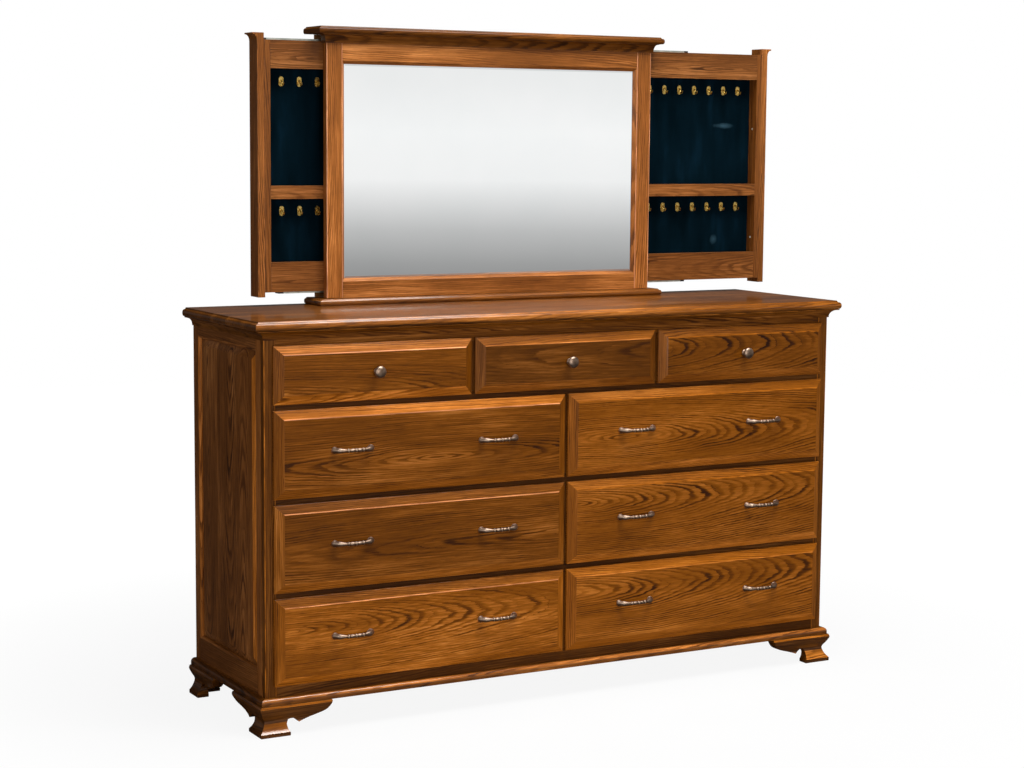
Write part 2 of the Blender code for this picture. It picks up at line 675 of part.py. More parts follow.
def channel(start, end, base, up, width, depth):
    """A U channel along x, with its web on the level base and its flanges towards up (+1 or -1)."""
    half, wall = width / 2, SLIDE_WALL
    section = [(-half, 0), (half, 0), (half, depth), (half - wall, depth)]
    section += [(half - wall, wall), (-half + wall, wall), (-half + wall, depth), (-half, depth)]
    return prism([(TRACK_MIDDLE + y, base + up * z) for y, z in section], start, end, along="X")


def add_tracks(board, face, seat, up):
    """The rail on the plinth or the cap behind the mirror frame, with a track for each case on it."""
    base = seat - up * SLIDE_STACK
    corner = (-TRACK_END, CASE_FRONT + CASE_CLEARANCE, face - up * JOINT_DEPTH)
    combine(board, block(corner, (TRACK_END, INTERIOR_BACK, base)), "UNION")
    for side in (-1, 1):
        start, end = side * (TRACK_END - CASE_WALL_INSET), side * (TRACK_END - TRACK_LENGTH)
        sunk = base - up * JOINT_DEPTH / 2
        track = channel(start, end, sunk, up, TRACK_WIDTH, TRACK_DEPTH + JOINT_DEPTH / 2)
        combine(board, track, "UNION")


def make_mirror_frame(parent):
    """The frame with the backing board that closes its rebate, and the glass inside."""
    low, high = PLINTH_TOP + GAP, CAP_UNDERSIDE - GAP
    hole = (MIRROR_HALF - MIRROR_STILE, low + MIRROR_BOTTOM_RAIL, high - MIRROR_TOP_RAIL)
    glass_y = MIRROR_FRONT + GLASS_RECESS
    rest = glass_y + GLASS_THICKNESS + 2 * GAP

    def inner_loop(inset, y):
        return upright_loop(hole[0] - inset, hole[1] + inset, hole[2] - inset, y)

    loops = [
        upright_loop(MIRROR_HALF, low, high, MIRROR_BACK),
        upright_loop(MIRROR_HALF, low, high, MIRROR_FRONT + EASE),
        upright_loop(MIRROR_HALF - EASE, low + EASE, high - EASE, MIRROR_FRONT),
        inner_loop(0, MIRROR_FRONT),
        inner_loop(MIRROR_SLOPE, glass_y),
        inner_loop(0, glass_y),
        inner_loop(0, rest),
    ]
    piece("mirror_frame", loft(loops), parent, "stained_oak")
    glass = [
        inner_loop(GAP, rest - GAP),
        inner_loop(GAP, glass_y + GAP + GLASS_BEVEL_DROP),
        inner_loop(GAP + GLASS_BEVEL, glass_y + GAP),
    ]
    piece("mirror_glass", loft(glass), parent, "mirror_silver")
    corner = (-MIRROR_HALF, CARCASE_DEPTH - BACK_PANEL_THICKNESS, low)
    piece("mirror_back_panel", block(corner, (MIRROR_HALF, CARCASE_DEPTH, high)), parent, "back_ply")


def make_mirror_unit(parent):
    front = CARCASE_DEPTH - PLINTH_DEPTH
    plinth = edged_board(PLINTH_WIDTH / 2, front, CARCASE_DEPTH, PLINTH_TOP, PLINTH_THICKNESS)
    plinth = piece("mirror_plinth", plinth, parent, "stained_oak")
    add_tracks(plinth, PLINTH_TOP, LOWER_SEAT, 1)
    make_mirror_frame(parent)
    half, front = MIRROR_HALF + CAP_SIDE_OVERHANG, MIRROR_FRONT - CAP_FRONT_OVERHANG
    cap = edged_board(half, front, CARCASE_DEPTH, CAP_UNDERSIDE + CAP_THICKNESS, CAP_THICKNESS)
    cap = piece("mirror_cap", cap, parent, "stained_oak")
    low, high = CAP_UNDERSIDE - CAP_MOULDING_HEIGHT, CAP_UNDERSIDE + JOINT_DEPTH
    section = cove_section(low, high, CAP_MOULDING_LIP, CAP_MOULDING_PROJECTION)
    combine(cap, wrapped_moulding(MIRROR_HALF, MIRROR_FRONT, MIRROR_BACK, section), "UNION")
    add_tracks(cap, CAP_UNDERSIDE, UPPER_SEAT, -1)


def mirrored(side, near, far):
    """A span along x measured from the centre outwards, as (low, high) on the given side."""
    return tuple(sorted((side * near, side * far)))


def make_case_frame(name, side, parent):
    """The face frame of a case, the boards behind it, and the slide members on its two ends.
    x = 0 is the face that meets the post."""
    inner_stile = mirrored(side, CASE_STILE - CASE_WIDTH, -CASE_WIDTH)
    post_stile = mirrored(side, -CASE_STILE, 0.0)
    whole = mirrored(side, -CASE_WIDTH, 0.0)
    face = [
        (*whole, CASE_TOP - CASE_TOP_RAIL, CASE_TOP),
        (*whole, LOWER_OPENING_TOP, UPPER_OPENING_FLOOR),
        (*whole, CASE_BOTTOM, CASE_BOTTOM + CASE_BOTTOM_RAIL),
        (*inner_stile, CASE_BOTTOM, CASE_TOP),
        (*post_stile, CASE_BOTTOM, CASE_TOP),
    ]
    frame = piece(name, boards(face, CASE_FRONT, CASE_FACE_BACK), parent, "stained_oak")

    inset = CASE_WALL_INSET
    shelf = (LOWER_OPENING_TOP + UPPER_OPENING_FLOOR) / 2
    inside = (whole[0] + inset, whole[1] - inset)
    walls = [
        (inside[0], inside[0] + CASE_STILE, LOWER_SEAT, UPPER_SEAT),
        (inside[1] - CASE_STILE, inside[1], LOWER_SEAT, UPPER_SEAT),
        (*inside, LOWER_SEAT, LOWER_SEAT + CASE_BOARD),
        (*inside, UPPER_SEAT - CASE_BOARD, UPPER_SEAT),
        (*inside, shelf - CASE_BOARD / 2, shelf + CASE_BOARD / 2),
    ]
    combine(frame, boards(walls, CASE_FACE_BACK - JOINT_DEPTH, CASE_INSIDE_BACK), "UNION")
    half = TRACK_WIDTH / 2 - 2 * SLIDE_WALL - 2 * SLIDE_GAP
    x0, x1 = mirrored(side, -CASE_MEMBER_SETBACK, CASE_MEMBER_MARGIN - CASE_WIDTH)
    for seat, up in ((LOWER_SEAT, 1), (UPPER_SEAT, -1)):
        corner = (x0, TRACK_MIDDLE - half, seat + up * JOINT_DEPTH)
        opposite = (x1, TRACK_MIDDLE + half, seat - up * CASE_MEMBER_HEIGHT)
        combine(frame, block(corner, opposite), "UNION")


def add_hook(x, z, face, bm):
    """A brass plate with a prong that leaves it, drops and curls up. The prong's points are shares of
    the hook's reach and of half its height."""
    half, tall = HOOK_WIDTH / 2, HOOK_HEIGHT / 2
    front = face - HOOK_PLATE
    block((x - half, front, z - tall), (x + half, face + JOINT_DEPTH, z + tall), bm=bm)
    path = [(-0.1, -0.1), (0.35, -0.75), (0.75, -0.85), (1.0, -0.2)]
    points = [Vector((x, front - out * HOOK_REACH, z + up * tall)) for out, up in path]
    stations = []
    for i, point in enumerate(points):
        along = (points[min(i + 1, len(points) - 1)] - points[max(i - 1, 0)]).normalized()
        stations.append((point, HOOK_WIRE, Vector((1, 0, 0)), along.cross(Vector((1, 0, 0)))))
    turned(stations, 5, bm=bm)


def make_case_back(name, side, parent):
    """The cloth-covered back board with its two rows of hooks."""
    front = CASE_INSIDE_BACK + GAP
    edge = JOINT_DEPTH + GAP
    x0, x1 = mirrored(side, -CASE_WALL_INSET, CASE_WALL_INSET - CASE_WIDTH)
    solid = block((x0, front, LOWER_SEAT + edge), (x1, front + CASE_BACK_THICKNESS, UPPER_SEAT - edge))
    board = piece(name, solid, parent, "navy_velvet")
    hooks = bmesh.new()
    for opening_top in (CASE_TOP - CASE_TOP_RAIL, LOWER_OPENING_TOP):
        for i in range(HOOKS_IN_ROW):
            x = -side * CASE_WIDTH / 2 + (i - (HOOKS_IN_ROW - 1) / 2) * HOOK_SPACING
            add_hook(x, opening_top - HOOK_DROP, front, hooks)
    combine(board, hooks, "UNION")


def make_post(name, side, parent):
    """The end board of a case, with a crown on its outer face."""
    outer = POST_THICKNESS
    crown_foot = POST_HIGH - CROWN_HEIGHT
    radii = (CROWN_PROJECTION - CROWN_FLAT, CROWN_HEIGHT - 2 * CROWN_FLAT)
    cove = arc((outer + radii[0], crown_foot), radii, 180, 90, 4)
    tip = outer + CROWN_PROJECTION
    head = [(tip, POST_HIGH - 2 * CROWN_FLAT), (tip, POST_HIGH), (GAP, POST_HIGH)]
    outline = [(side * x, z) for x, z in [(GAP, POST_LOW), (outer, POST_LOW), *cove, *head]]
    front = CASE_FRONT + CASE_CLEARANCE
    piece(name, prism(outline, front, front + POST_DEPTH), parent, "stained_oak")


def make_case(side_name, side, link_out, case_out, parent):
    """One case on its two links: the links slide in the tracks, and the case slides on the links."""
    links = empty(f"{side_name}_case_links", parent, (side * (CLOSED_LINK_END + link_out), 0, 0))
    step = SLIDE_WALL + SLIDE_GAP
    for level, seat, up in (("lower", LOWER_SEAT, 1), ("upper", UPPER_SEAT, -1)):
        base = seat - up * (SLIDE_STACK - step)
        lead = LEFT_UPPER_LINK_LEAD if (side_name, level) == ("left", "upper") else 0.0
        start, end = side * lead, side * (lead - LINK_LENGTH)
        link = channel(start, end, base, up, TRACK_WIDTH - 2 * step, LINK_DEPTH)
        piece(f"{side_name}_{level}_slide_link", link, links, "zinc_steel")
    case = empty(f"{side_name}_case", links, (side * (CLOSED_POST + case_out - CLOSED_LINK_END), 0, 0))
    make_case_frame(f"{side_name}_case_frame", side, case)
    make_case_back(f"{side_name}_case_back", side, case)
    make_post(f"{side_name}_case_post", side, case)


def make_dresser():
    clear_scene()
    post_reach = CLOSED_POST + POST_THICKNESS + CROWN_PROJECTION
    left = max(TOP_WIDTH / 2, post_reach + LEFT_LINK_OUT + LEFT_CASE_OUT)
    right = max(TOP_WIDTH / 2, post_reach + RIGHT_LINK_OUT + RIGHT_CASE_OUT)
    front = GAP - FIELD_Y + max(PULL_PROJECTION, KNOB_PROJECTION)
    dresser = empty("dresser", None, ((left - right) / 2, (front - CARCASE_DEPTH) / 2, 0))
    drawers = drawer_places()
    make_top(dresser)
    make_carcase(drawers, dresser)
    make_base_moulding(dresser)
    make_front_foot("front_left_foot", -1, dresser)
    make_front_foot("front_right_foot", 1, dresser)
    make_back_foot("back_left_foot", -1, dresser)
    make_back_foot("back_right_foot", 1, dresser)
    for drawer in drawers:
        make_drawer(drawer, dresser)
    make_mirror_unit(dresser)
    make_case("left", -1, LEFT_LINK_OUT, LEFT_CASE_OUT, dresser)
    make_case("right", 1, RIGHT_LINK_OUT, RIGHT_CASE_OUT, dresser)


make_dresser()
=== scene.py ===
# Oak dresser with nine drawers and a mirror unit, whose two jewellery cases slide out at its sides.
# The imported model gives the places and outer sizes. This script gives each board its own grain,
# eases the edges, makes the pulls and hooks in detail, and sets up a plain studio.
import itertools
import math

import bmesh
import bpy
from mathutils import Matrix, Vector


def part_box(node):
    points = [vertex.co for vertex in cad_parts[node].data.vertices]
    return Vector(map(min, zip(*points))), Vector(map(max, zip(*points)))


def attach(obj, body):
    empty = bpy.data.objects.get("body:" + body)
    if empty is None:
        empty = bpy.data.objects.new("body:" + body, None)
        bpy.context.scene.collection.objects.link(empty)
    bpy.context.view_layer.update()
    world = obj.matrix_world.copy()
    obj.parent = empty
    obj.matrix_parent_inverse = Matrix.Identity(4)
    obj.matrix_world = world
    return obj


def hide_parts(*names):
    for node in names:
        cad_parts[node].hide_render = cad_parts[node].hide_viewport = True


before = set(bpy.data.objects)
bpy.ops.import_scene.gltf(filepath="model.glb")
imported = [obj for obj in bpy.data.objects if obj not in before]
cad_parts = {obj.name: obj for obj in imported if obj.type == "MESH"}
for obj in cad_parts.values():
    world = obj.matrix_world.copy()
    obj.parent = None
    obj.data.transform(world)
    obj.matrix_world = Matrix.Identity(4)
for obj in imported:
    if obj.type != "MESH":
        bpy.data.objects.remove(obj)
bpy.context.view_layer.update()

seatGap = 0.0003  # between pieces that rest on each other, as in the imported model
sameSpot = 0.00001  # points nearer to each other than this are one point
narrowBoard = 0.11  # narrower boards are cut beside the heart, and show no arches

# settings that many shading nodes share
plus = {"operation": "ADD"}
times = {"operation": "MULTIPLY"}
timesPlus = {"operation": "MULTIPLY_ADD"}
over = {"operation": "DIVIDE"}
smooth = {"interpolation_type": "SMOOTHSTEP"}
colours = {"data_type": "RGBA"}
white = (1, 1, 1, 1)


def hexColour(code):
    # an sRGB colour as the eye reads it, turned to the linear values that shading needs
    values = [int(code[i:i + 2], 16) / 255 for i in (1, 3, 5)]
    return (*[v / 12.92 if v <= 0.04045 else ((v + 0.055) / 1.055) ** 2.4 for v in values], 1)


def setSockets(tree, node, sockets):
    # each socket gets a plain value or a link. A node stands for its first output
    for socket, value in sockets.items():
        if isinstance(value, bpy.types.Node):
            value = value.outputs[0]
        if isinstance(value, bpy.types.NodeSocket):
            tree.links.new(value, node.inputs[socket])
        else:
            node.inputs[socket].default_value = value


def addNode(tree, kind, settings, sockets):
    node = tree.nodes.new("ShaderNode" + kind)
    for name, value in settings.items():
        setattr(node, name, value)
    setSockets(tree, node, sockets)
    return node


def setStops(node, stops):
    ramp = node.color_ramp
    while len(ramp.elements) < len(stops):
        ramp.elements.new(0.5)
    for element, (place, code) in zip(ramp.elements, stops):
        element.position = place
        element.color = hexColour(code)
    return node


def newMaterial(name, shine):
    # shine holds the values that are the same all over, set on the shader's own sockets
    material = bpy.data.materials.new(name)
    material.use_nodes = True
    tree = material.node_tree
    shader = tree.nodes["Principled BSDF"]
    setSockets(tree, shader, shine)
    return material, tree, shader


# The noises of the wood: how many waves a metre holds along, across and through the grain, how
# many finer layers lie over them, and how strong those are. Single pores are too fine to show, so
# the dashes stand for rows of them, about 2 mm wide and 30 mm long.
woodNoises = {
    "bend": ((1.6, 3.0, 3.0), 1.0, 0.5),  # the heart of the tree wanders through the thickness
    "sway": ((2.3, 2.0, 2.0), 1.0, 0.5),  # and across the width
    "waves": ((11.0, 40.0, 40.0), 2.0, 0.5),  # broad waves in the rings
    "fibres": ((14.0, 380.0, 380.0), 2.0, 0.65),  # wood fibres that fray each ring along the grain
    "patches": ((6.0, 26.0, 26.0), 2.0, 0.5),  # where a line comes and goes
    "dashes": ((30.0, 430.0, 430.0), 3.0, 0.75),  # open pores
    "streaks": ((7.0, 230.0, 230.0), 3.0, 0.7),  # fine streaks in the stain
    "cloud": ((2.0, 9.0, 9.0), 3.0, 0.55),  # broad paler and darker patches
}
# the stretch of each noise that runs from nothing to full
woodRanges = {"patches": (0.36, 0.60), "dashes": (0.50, 0.62), "streaks": (0.34, 0.68), "cloud": (0.30, 0.70)}


# Oak, flat-sawn, stained brown and lacquered satin. Growth rings meet the face as long nested
# arches with ragged edges, and the open pores of the early wood hold the stain as short dark dashes.
def makeOak(name, look):
    material, tree, shader = newMaterial(name, look["shine"])
    grain = addNode(tree, "Attribute", {"attribute_name": "grain"}, {}).outputs["Vector"]
    tone = addNode(tree, "Attribute", {"attribute_name": "tone"}, {}).outputs["Fac"]
    axes = addNode(tree, "SeparateXYZ", {}, {0: grain}).outputs
    # each board gets its own stretch of noise
    apart = addNode(tree, "VectorMath", timesPlus, {0: tone, 1: (31.0, 17.0, 23.0), 2: grain})
    noises = {}
    for kind, (waves, detail, rough) in woodNoises.items():
        stretched = addNode(tree, "VectorMath", times, {0: apart, 1: waves})
        noises[kind] = addNode(tree, "TexNoise", {}, {
            "Vector": stretched, "Scale": 1.0, "Detail": detail, "Roughness": rough})
    for kind, (low, high) in woodRanges.items():
        noises[kind] = addNode(tree, "MapRange", {}, {0: noises[kind], 1: low, 2: high})
    # these run from 0 to 1, and are moved to swing both ways round nothing
    swings = {"bend": look["bend"], "sway": look["bend"], "waves": look["waver"], "fibres": look["fray"]}
    for kind, amount in swings.items():
        noises[kind] = addNode(tree, "Math", timesPlus, {0: noises[kind], 1: amount, 2: -amount / 2})

    # the distance from the heart of the tree
    deep = addNode(tree, "Math", timesPlus, {0: axes["X"], 1: look["taper"], 2: axes["Z"]})
    deep = addNode(tree, "Math", plus, {0: deep, 1: noises["bend"]})
    aside = addNode(tree, "Math", plus, {0: axes["Y"], 1: noises["sway"]})
    asideSquared = addNode(tree, "Math", times, {0: aside, 1: aside})
    heart = addNode(tree, "Math", timesPlus, {0: deep, 1: deep, 2: asideSquared})
    heart = addNode(tree, "Math", {"operation": "SQRT"}, {0: heart})
    # the rings, one for each year, with ragged edges
    ragged = addNode(tree, "Math", plus, {0: noises["waves"], 1: noises["fibres"]})
    ragged = addNode(tree, "Math", plus, {0: heart, 1: ragged})
    rings = addNode(tree, "Math", over, {0: ragged, 1: look["ring"]})
    share = addNode(tree, "Math", {"operation": "FRACT"}, {0: rings})
    number = addNode(tree, "Math", {"operation": "FLOOR"}, {0: rings})
    number = addNode(tree, "Math", plus, {0: number, 1: tone})
    year = addNode(tree, "TexWhiteNoise", {"noise_dimensions": "1D"}, {"W": number})
    # some years leave hardly a line, and each line comes and goes along the board
    strong = addNode(tree, "MapRange", {}, {0: year, 1: 0.15, 2: 1.0, 3: 0.12, 4: 1.0})
    patchy = addNode(tree, "Math", timesPlus, {0: noises["patches"], 1: 0.75, 2: 0.25})
    fade = addNode(tree, "Math", times, {0: strong, 1: patchy})
    # away from the arches the rings run on edge, close together, and blur into the ground
    heartSquared = addNode(tree, "Math", times, {0: heart, 1: heart})
    onEdge = addNode(tree, "Math", over, {0: asideSquared, 1: heartSquared})
    blurred = addNode(tree, "Math", timesPlus, {0: onEdge, 1: -0.35, 2: 1.0})
    fade = addNode(tree, "Math", times, {0: fade, 1: blurred})
    # a ring starts with a dark band of open pores and grows paler
    rise = addNode(tree, "MapRange", smooth, {0: share, 1: 0.16, 2: 0.52, 3: 1.0, 4: 0.0})
    edge = addNode(tree, "MapRange", smooth, {0: share, 1: 0.90, 2: 1.0, 3: 0.0, 4: 1.0})
    early = addNode(tree, "Math", {"operation": "MAXIMUM"}, {0: rise, 1: edge})
    early = addNode(tree, "Math", times, {0: early, 1: fade})
    crowded = addNode(tree, "Math", timesPlus, {0: early, 1: 0.65, 2: 0.35})
    pores = addNode(tree, "Math", times, {0: noises["dashes"], 1: crowded})

    # the level on the colour stops: rings, then streaks, then broad patches
    level = addNode(tree, "Math", timesPlus, {0: early, 1: -look["contrast"], 2: 0.74})
    level = addNode(tree, "Math", plus, {0: level, 1: look["streak"] / 2})
    level = addNode(tree, "Math", timesPlus, {0: noises["streaks"], 1: -look["streak"], 2: level})
    level = addNode(tree, "Math", plus, {0: level, 1: -look["cloud"] / 2})
    level = addNode(tree, "Math", timesPlus, {0: noises["cloud"], 1: look["cloud"], 2: level})
    colour = setStops(addNode(tree, "ValToRGB", {}, {0: level}), look["stops"])
    filled = addNode(tree, "Math", times, {0: pores, 1: 0.6})
    inked = addNode(tree, "Mix", colours, {0: filled, 6: colour, 7: hexColour(look["pore"])}).outputs[2]
    # a board's tone makes it darker or paler, and changes how rich its colour is where a highlight is painted
    lift = addNode(tree, "Math", timesPlus, {0: tone, 1: look["spread"], 2: 1.0 - look["spread"] / 2})
    rich = addNode(tree, "MapRange", {}, {
        0: tone, 1: 1.5, 2: 2.8, 3: look["depth"], 4: look["depth"] * look["highlightDepth"]})
    shaded = addNode(tree, "HueSaturation", {}, {"Saturation": rich, "Value": lift, "Color": inked})
    dull = addNode(tree, "Math", timesPlus, {0: noises["streaks"], 1: 0.08, 2: look["dull"]})
    dull = addNode(tree, "Math", timesPlus, {0: pores, 1: 0.20, 2: dull})
    relief = addNode(tree, "Math", times, {0: pores, 1: -0.9})
    relief = addNode(tree, "Math", timesPlus, {0: early, 1: -0.3, 2: relief})
    bump = addNode(tree, "Bump", {}, {"Strength": 0.22, "Distance": 0.0003, "Height": relief})
    setSockets(tree, shader, {"Base Color": shaded, "Roughness": dull, "Normal": bump})
    return material


# ring is the width of one year in metres, taper how fast the heart of the tree comes nearer along
# the board, bend how far it wanders, and waver and fray how ragged the rings are. contrast, streak
# and cloud say how strongly rings, streaks and patches show, spread how much a board's tone counts,
# and depth how rich the colour is, with highlightDepth times that where a highlight is painted.
oakLook = {
    "stops": [
        (0.0, "#2A1303"), (0.22, "#412003"), (0.43, "#5A2E03"), (0.58, "#6A3905"), (0.70, "#77420B"),
        (0.80, "#8B5016"), (0.88, "#9E5F22"), (1.0, "#B87436")],
    "pore": "#240E02", "ring": 0.0048, "taper": 0.070, "bend": 0.022, "waver": 0.0055, "fray": 0.0030,
    "contrast": 0.62, "streak": 0.24, "cloud": 0.34, "spread": 1.0, "dull": 0.42,
    "depth": 1.01, "highlightDepth": 0.84,
    "shine": {"IOR": 1.5, "Specular IOR Level": 0.10, "Coat Weight": 0.12, "Coat Roughness": 0.10},
}
# the top, the base, the feet and the plinth have more coats of lacquer
topShine = {"IOR": 1.5, "Specular IOR Level": 0.18, "Coat Weight": 0.55, "Coat Roughness": 0.09}
topLook = dict(oakLook, dull=0.36, shine=topShine)
# the mirror unit is calmer in its grain, the sides keep a richer colour in their painted highlights,
# and the fronts on the right have bolder rings
paleLook = dict(oakLook, depth=0.963, contrast=0.52)
sideLook = dict(oakLook, depth=0.963, highlightDepth=1.04)
boldLook = dict(oakLook, contrast=0.80, streak=0.16, cloud=0.26, waver=0.0068, fray=0.0024)
# Maple, planed and sealed clear: cream, with faint rings and no open pores to speak of.
mapleLook = {
    "stops": [(0.0, "#A87E52"), (0.4, "#C69A69"), (0.7, "#D6AE7E"), (1.0, "#E2C094")],
    "pore": "#8E6238", "ring": 0.0080, "taper": 0.05, "bend": 0.020, "waver": 0.004, "fray": 0.0015,
    "contrast": 0.22, "streak": 0.14, "cloud": 0.25, "spread": 0.14, "dull": 0.46,
    "depth": 1.0, "highlightDepth": 1.0,
    "shine": {"IOR": 1.5, "Specular IOR Level": 0.35},
}
# Plywood, rotary-cut and stained: peeled round the log, so its arches are very wide and soft.
plyLook = {
    "stops": [(0.0, "#4A2C14"), (0.4, "#6B431F"), (0.7, "#80542A"), (1.0, "#946438")],
    "pore": "#3A2210", "ring": 0.0160, "taper": 0.16, "bend": 0.070, "waver": 0.010, "fray": 0.003,
    "contrast": 0.30, "streak": 0.15, "cloud": 0.30, "spread": 0.10, "dull": 0.56,
    "depth": 1.0, "highlightDepth": 1.0,
    "shine": {"IOR": 1.5, "Specular IOR Level": 0.25},
}
stainedOak = makeOak("satinStainedOak", oakLook)
polishedOak = makeOak("polishedStainedOak", topLook)
paleOak = makeOak("paleStainedOak", paleLook)
sideOak = makeOak("sideStainedOak", sideLook)
boldOak = makeOak("boldGrainedOak", boldLook)
paleMaple = makeOak("sealedMaple", mapleLook)
backPly = makeOak("stainedPlywood", plyLook)


# Cast zinc, bronze plated and rubbed: dark in the hollows, with bright coppery high spots.
def makeBronze():
    material, tree, shader = newMaterial("rubbedBronzePlate", {"Metallic": 1.0})
    place = addNode(tree, "TexCoord", {}, {}).outputs["Object"]
    # patches of thicker and thinner plating, about 6 mm across
    patch = addNode(tree, "TexNoise", {}, {"Vector": place, "Scale": 160.0, "Detail": 4.0, "Roughness": 0.6})
    wearAndHighlight = addNode(tree, "NewGeometry", {}, {}).outputs["Pointiness"]
    wearAndHighlight = addNode(tree, "MapRange", {}, {0: wearAndHighlight, 1: 0.46, 2: 0.58, 3: 0.0, 4: 1.0})
    both = addNode(tree, "Math", timesPlus, {0: patch, 1: 0.7, 2: wearAndHighlight})
    half = addNode(tree, "Math", times, {0: both, 1: 0.6})
    stops = [(0.0, "#3A2C22"), (0.42, "#755E4E"), (0.75, "#AC9684"), (1.0, "#D6C4B4")]
    colour = setStops(addNode(tree, "ValToRGB", {}, {0: half}), stops)
    dull = addNode(tree, "MapRange", {}, {0: patch, 1: 0.3, 2: 0.7, 3: 0.34, 4: 0.50})
    bump = addNode(tree, "Bump", {}, {"Strength": 0.15, "Distance": 0.0002, "Height": patch})
    setSockets(tree, shader, {"Base Color": colour, "Roughness": dull, "Normal": bump})
    return material


# Rolled steel strip, zinc plated: pale grey-green, faintly cloudy, with fine lines along its length.
def makeZinc():
    material, tree, shader = newMaterial("zincPlatedSteel", {"Metallic": 1.0})
    place = addNode(tree, "TexCoord", {}, {}).outputs["Object"]
    cloud = addNode(tree, "TexNoise", {}, {"Vector": place, "Scale": 70.0, "Detail": 3.0})
    # the lines are drawn about 1 mm apart, because the real ones are too fine to show
    drawn = addNode(tree, "VectorMath", times, {0: place, 1: (6.0, 900.0, 900.0)})
    lines = addNode(tree, "TexNoise", {}, {"Vector": drawn, "Scale": 1.0, "Detail": 2.0})
    colour = setStops(addNode(tree, "ValToRGB", {}, {0: cloud}), [(0.3, "#A9ADA2"), (0.7, "#CDD1C6")])
    dull = addNode(tree, "MapRange", {}, {0: lines, 1: 0.3, 2: 0.7, 3: 0.28, 4: 0.42})
    bump = addNode(tree, "Bump", {}, {"Strength": 0.1, "Distance": 0.0001, "Height": lines})
    setSockets(tree, shader, {"Base Color": colour, "Roughness": dull, "Normal": bump})
    return material


def makePlain(name, look):
    # a smooth surface whose colour and shine vary a little, in patches
    material, tree, shader = newMaterial(name, look["shine"])
    place = addNode(tree, "TexCoord", {}, {}).outputs["Object"]
    patch = addNode(tree, "TexNoise", {}, {"Vector": place, "Scale": look["scale"], "Detail": look["detail"]})
    colour = setStops(addNode(tree, "ValToRGB", {}, {0: patch}), look["stops"])
    least, most = look["dull"]
    dull = addNode(tree, "MapRange", {}, {0: patch, 1: 0.3, 2: 0.7, 3: least, 4: most})
    setSockets(tree, shader, {"Base Color": colour, "Roughness": dull})
    return material


# Bright brass, stamped and lacquered: yellow highlights and brown shade in its dish, in patches
# about 5 mm across.
brassLook = {
    "shine": {"Metallic": 1.0}, "scale": 220.0, "detail": 3.0, "dull": (0.20, 0.34),
    "stops": [(0.3, "#B08A3E"), (0.55, "#D8B765"), (0.8, "#F0D890")],
}
# Moulded black nylon: the stops on the ends of the slides, dull with a fine grain, which is drawn
# about 1 mm wide so that it shows.
nylonLook = {
    "shine": {"IOR": 1.53, "Specular IOR Level": 0.4}, "scale": 900.0, "detail": 2.0, "dull": (0.45, 0.60),
    "stops": [(0.3, "#0C0C0D"), (0.7, "#1B1B1D")],
}
# Silvered float glass: a clean mirror, with the faintest haze that a wiped glass keeps, in broad
# patches 200 mm across.
mirrorLook = {
    "shine": {"Metallic": 1.0}, "scale": 5.0, "detail": 4.0, "dull": (0.004, 0.016),
    "stops": [(0.3, "#F4F6F6"), (0.7, "#F8F9F9")],
}
# places where the pile was pressed, painted paler as a painted sheen where they catch the light: x, z, half
# width, half height
velvetLook = {
    "shine": {
        "Roughness": 0.95, "Specular IOR Level": 0.0, "Sheen Weight": 0.05, "Sheen Roughness": 0.45,
        "Sheen Tint": hexColour("#3E6478")},
    "stops": [(0.3, "#030E14"), (0.55, "#05141C"), (0.75, "#081C28")], "pressedSheenColour": "#34505E",
    "pressedSheenMarks": [(0.752, 1.487, 0.040, 0.009), (0.728, 1.160, 0.018, 0.019)],
}


# Cotton velvet, dyed dark navy: nearly black, with a soft blue sheen, and paler streaks painted where the
# pile leans, a painted sheen.
def makeVelvet(look):
    material, tree, shader = newMaterial("navyVelvet", look["shine"])
    place = addNode(tree, "TexCoord", {}, {}).outputs["Object"]
    # the pile is brushed up and down, in soft streaks about 40 mm wide. Its tufts are drawn 1.4 mm
    # wide, because the real ones are too fine to show
    brushed = addNode(tree, "VectorMath", times, {0: place, 1: (26.0, 26.0, 7.0)})
    lean = addNode(tree, "TexNoise", {}, {"Vector": brushed, "Scale": 1.0, "Detail": 3.0})
    pile = addNode(tree, "TexNoise", {}, {"Vector": place, "Scale": 700.0, "Detail": 1.0})
    # where the pile leans it is painted paler, a painted sheen
    colour = setStops(addNode(tree, "ValToRGB", {}, {0: lean}), look["stops"])
    # each pressed place is painted paler, a painted sheen
    for x, z, wide, high in look["pressedSheenMarks"]:
        moved = addNode(tree, "VectorMath", {"operation": "SUBTRACT"}, {0: place, 1: (x, 0.0, z)})
        near = addNode(tree, "VectorMath", times, {0: moved, 1: (1 / wide, 0.0, 1 / high)})
        far = addNode(tree, "VectorMath", {"operation": "LENGTH"}, {0: near}).outputs["Value"]
        ragged = addNode(tree, "Math", timesPlus, {0: lean, 1: 1.6, 2: far})
        spot = addNode(tree, "MapRange", {}, {0: ragged, 1: 0.75, 2: 1.7, 3: 0.7, 4: 0.0})
        pressed = {0: spot, 6: colour, 7: hexColour(look["pressedSheenColour"])}
        colour = addNode(tree, "Mix", colours, pressed).outputs[2]
    bump = addNode(tree, "Bump", {}, {"Strength": 0.3, "Distance": 0.0004, "Height": pile})
    setSockets(tree, shader, {"Base Color": colour, "Normal": bump})
    return material


rubbedBronze = makeBronze()
brightBrass = makePlain("stampedBrass", brassLook)
zincSteel = makeZinc()
blackNylon = makePlain("blackNylon", nylonLook)
mirrorSilver = makePlain("silveredGlass", mirrorLook)
navyVelvet = makeVelvet(velvetLook)
print("materials: ", len(bpy.data.materials))

# the tools that every piece is made with. A piece in work is a mesh with a list of planks, and
# each of its faces says which plank it belongs to
plankNumbers = itertools.count(1)


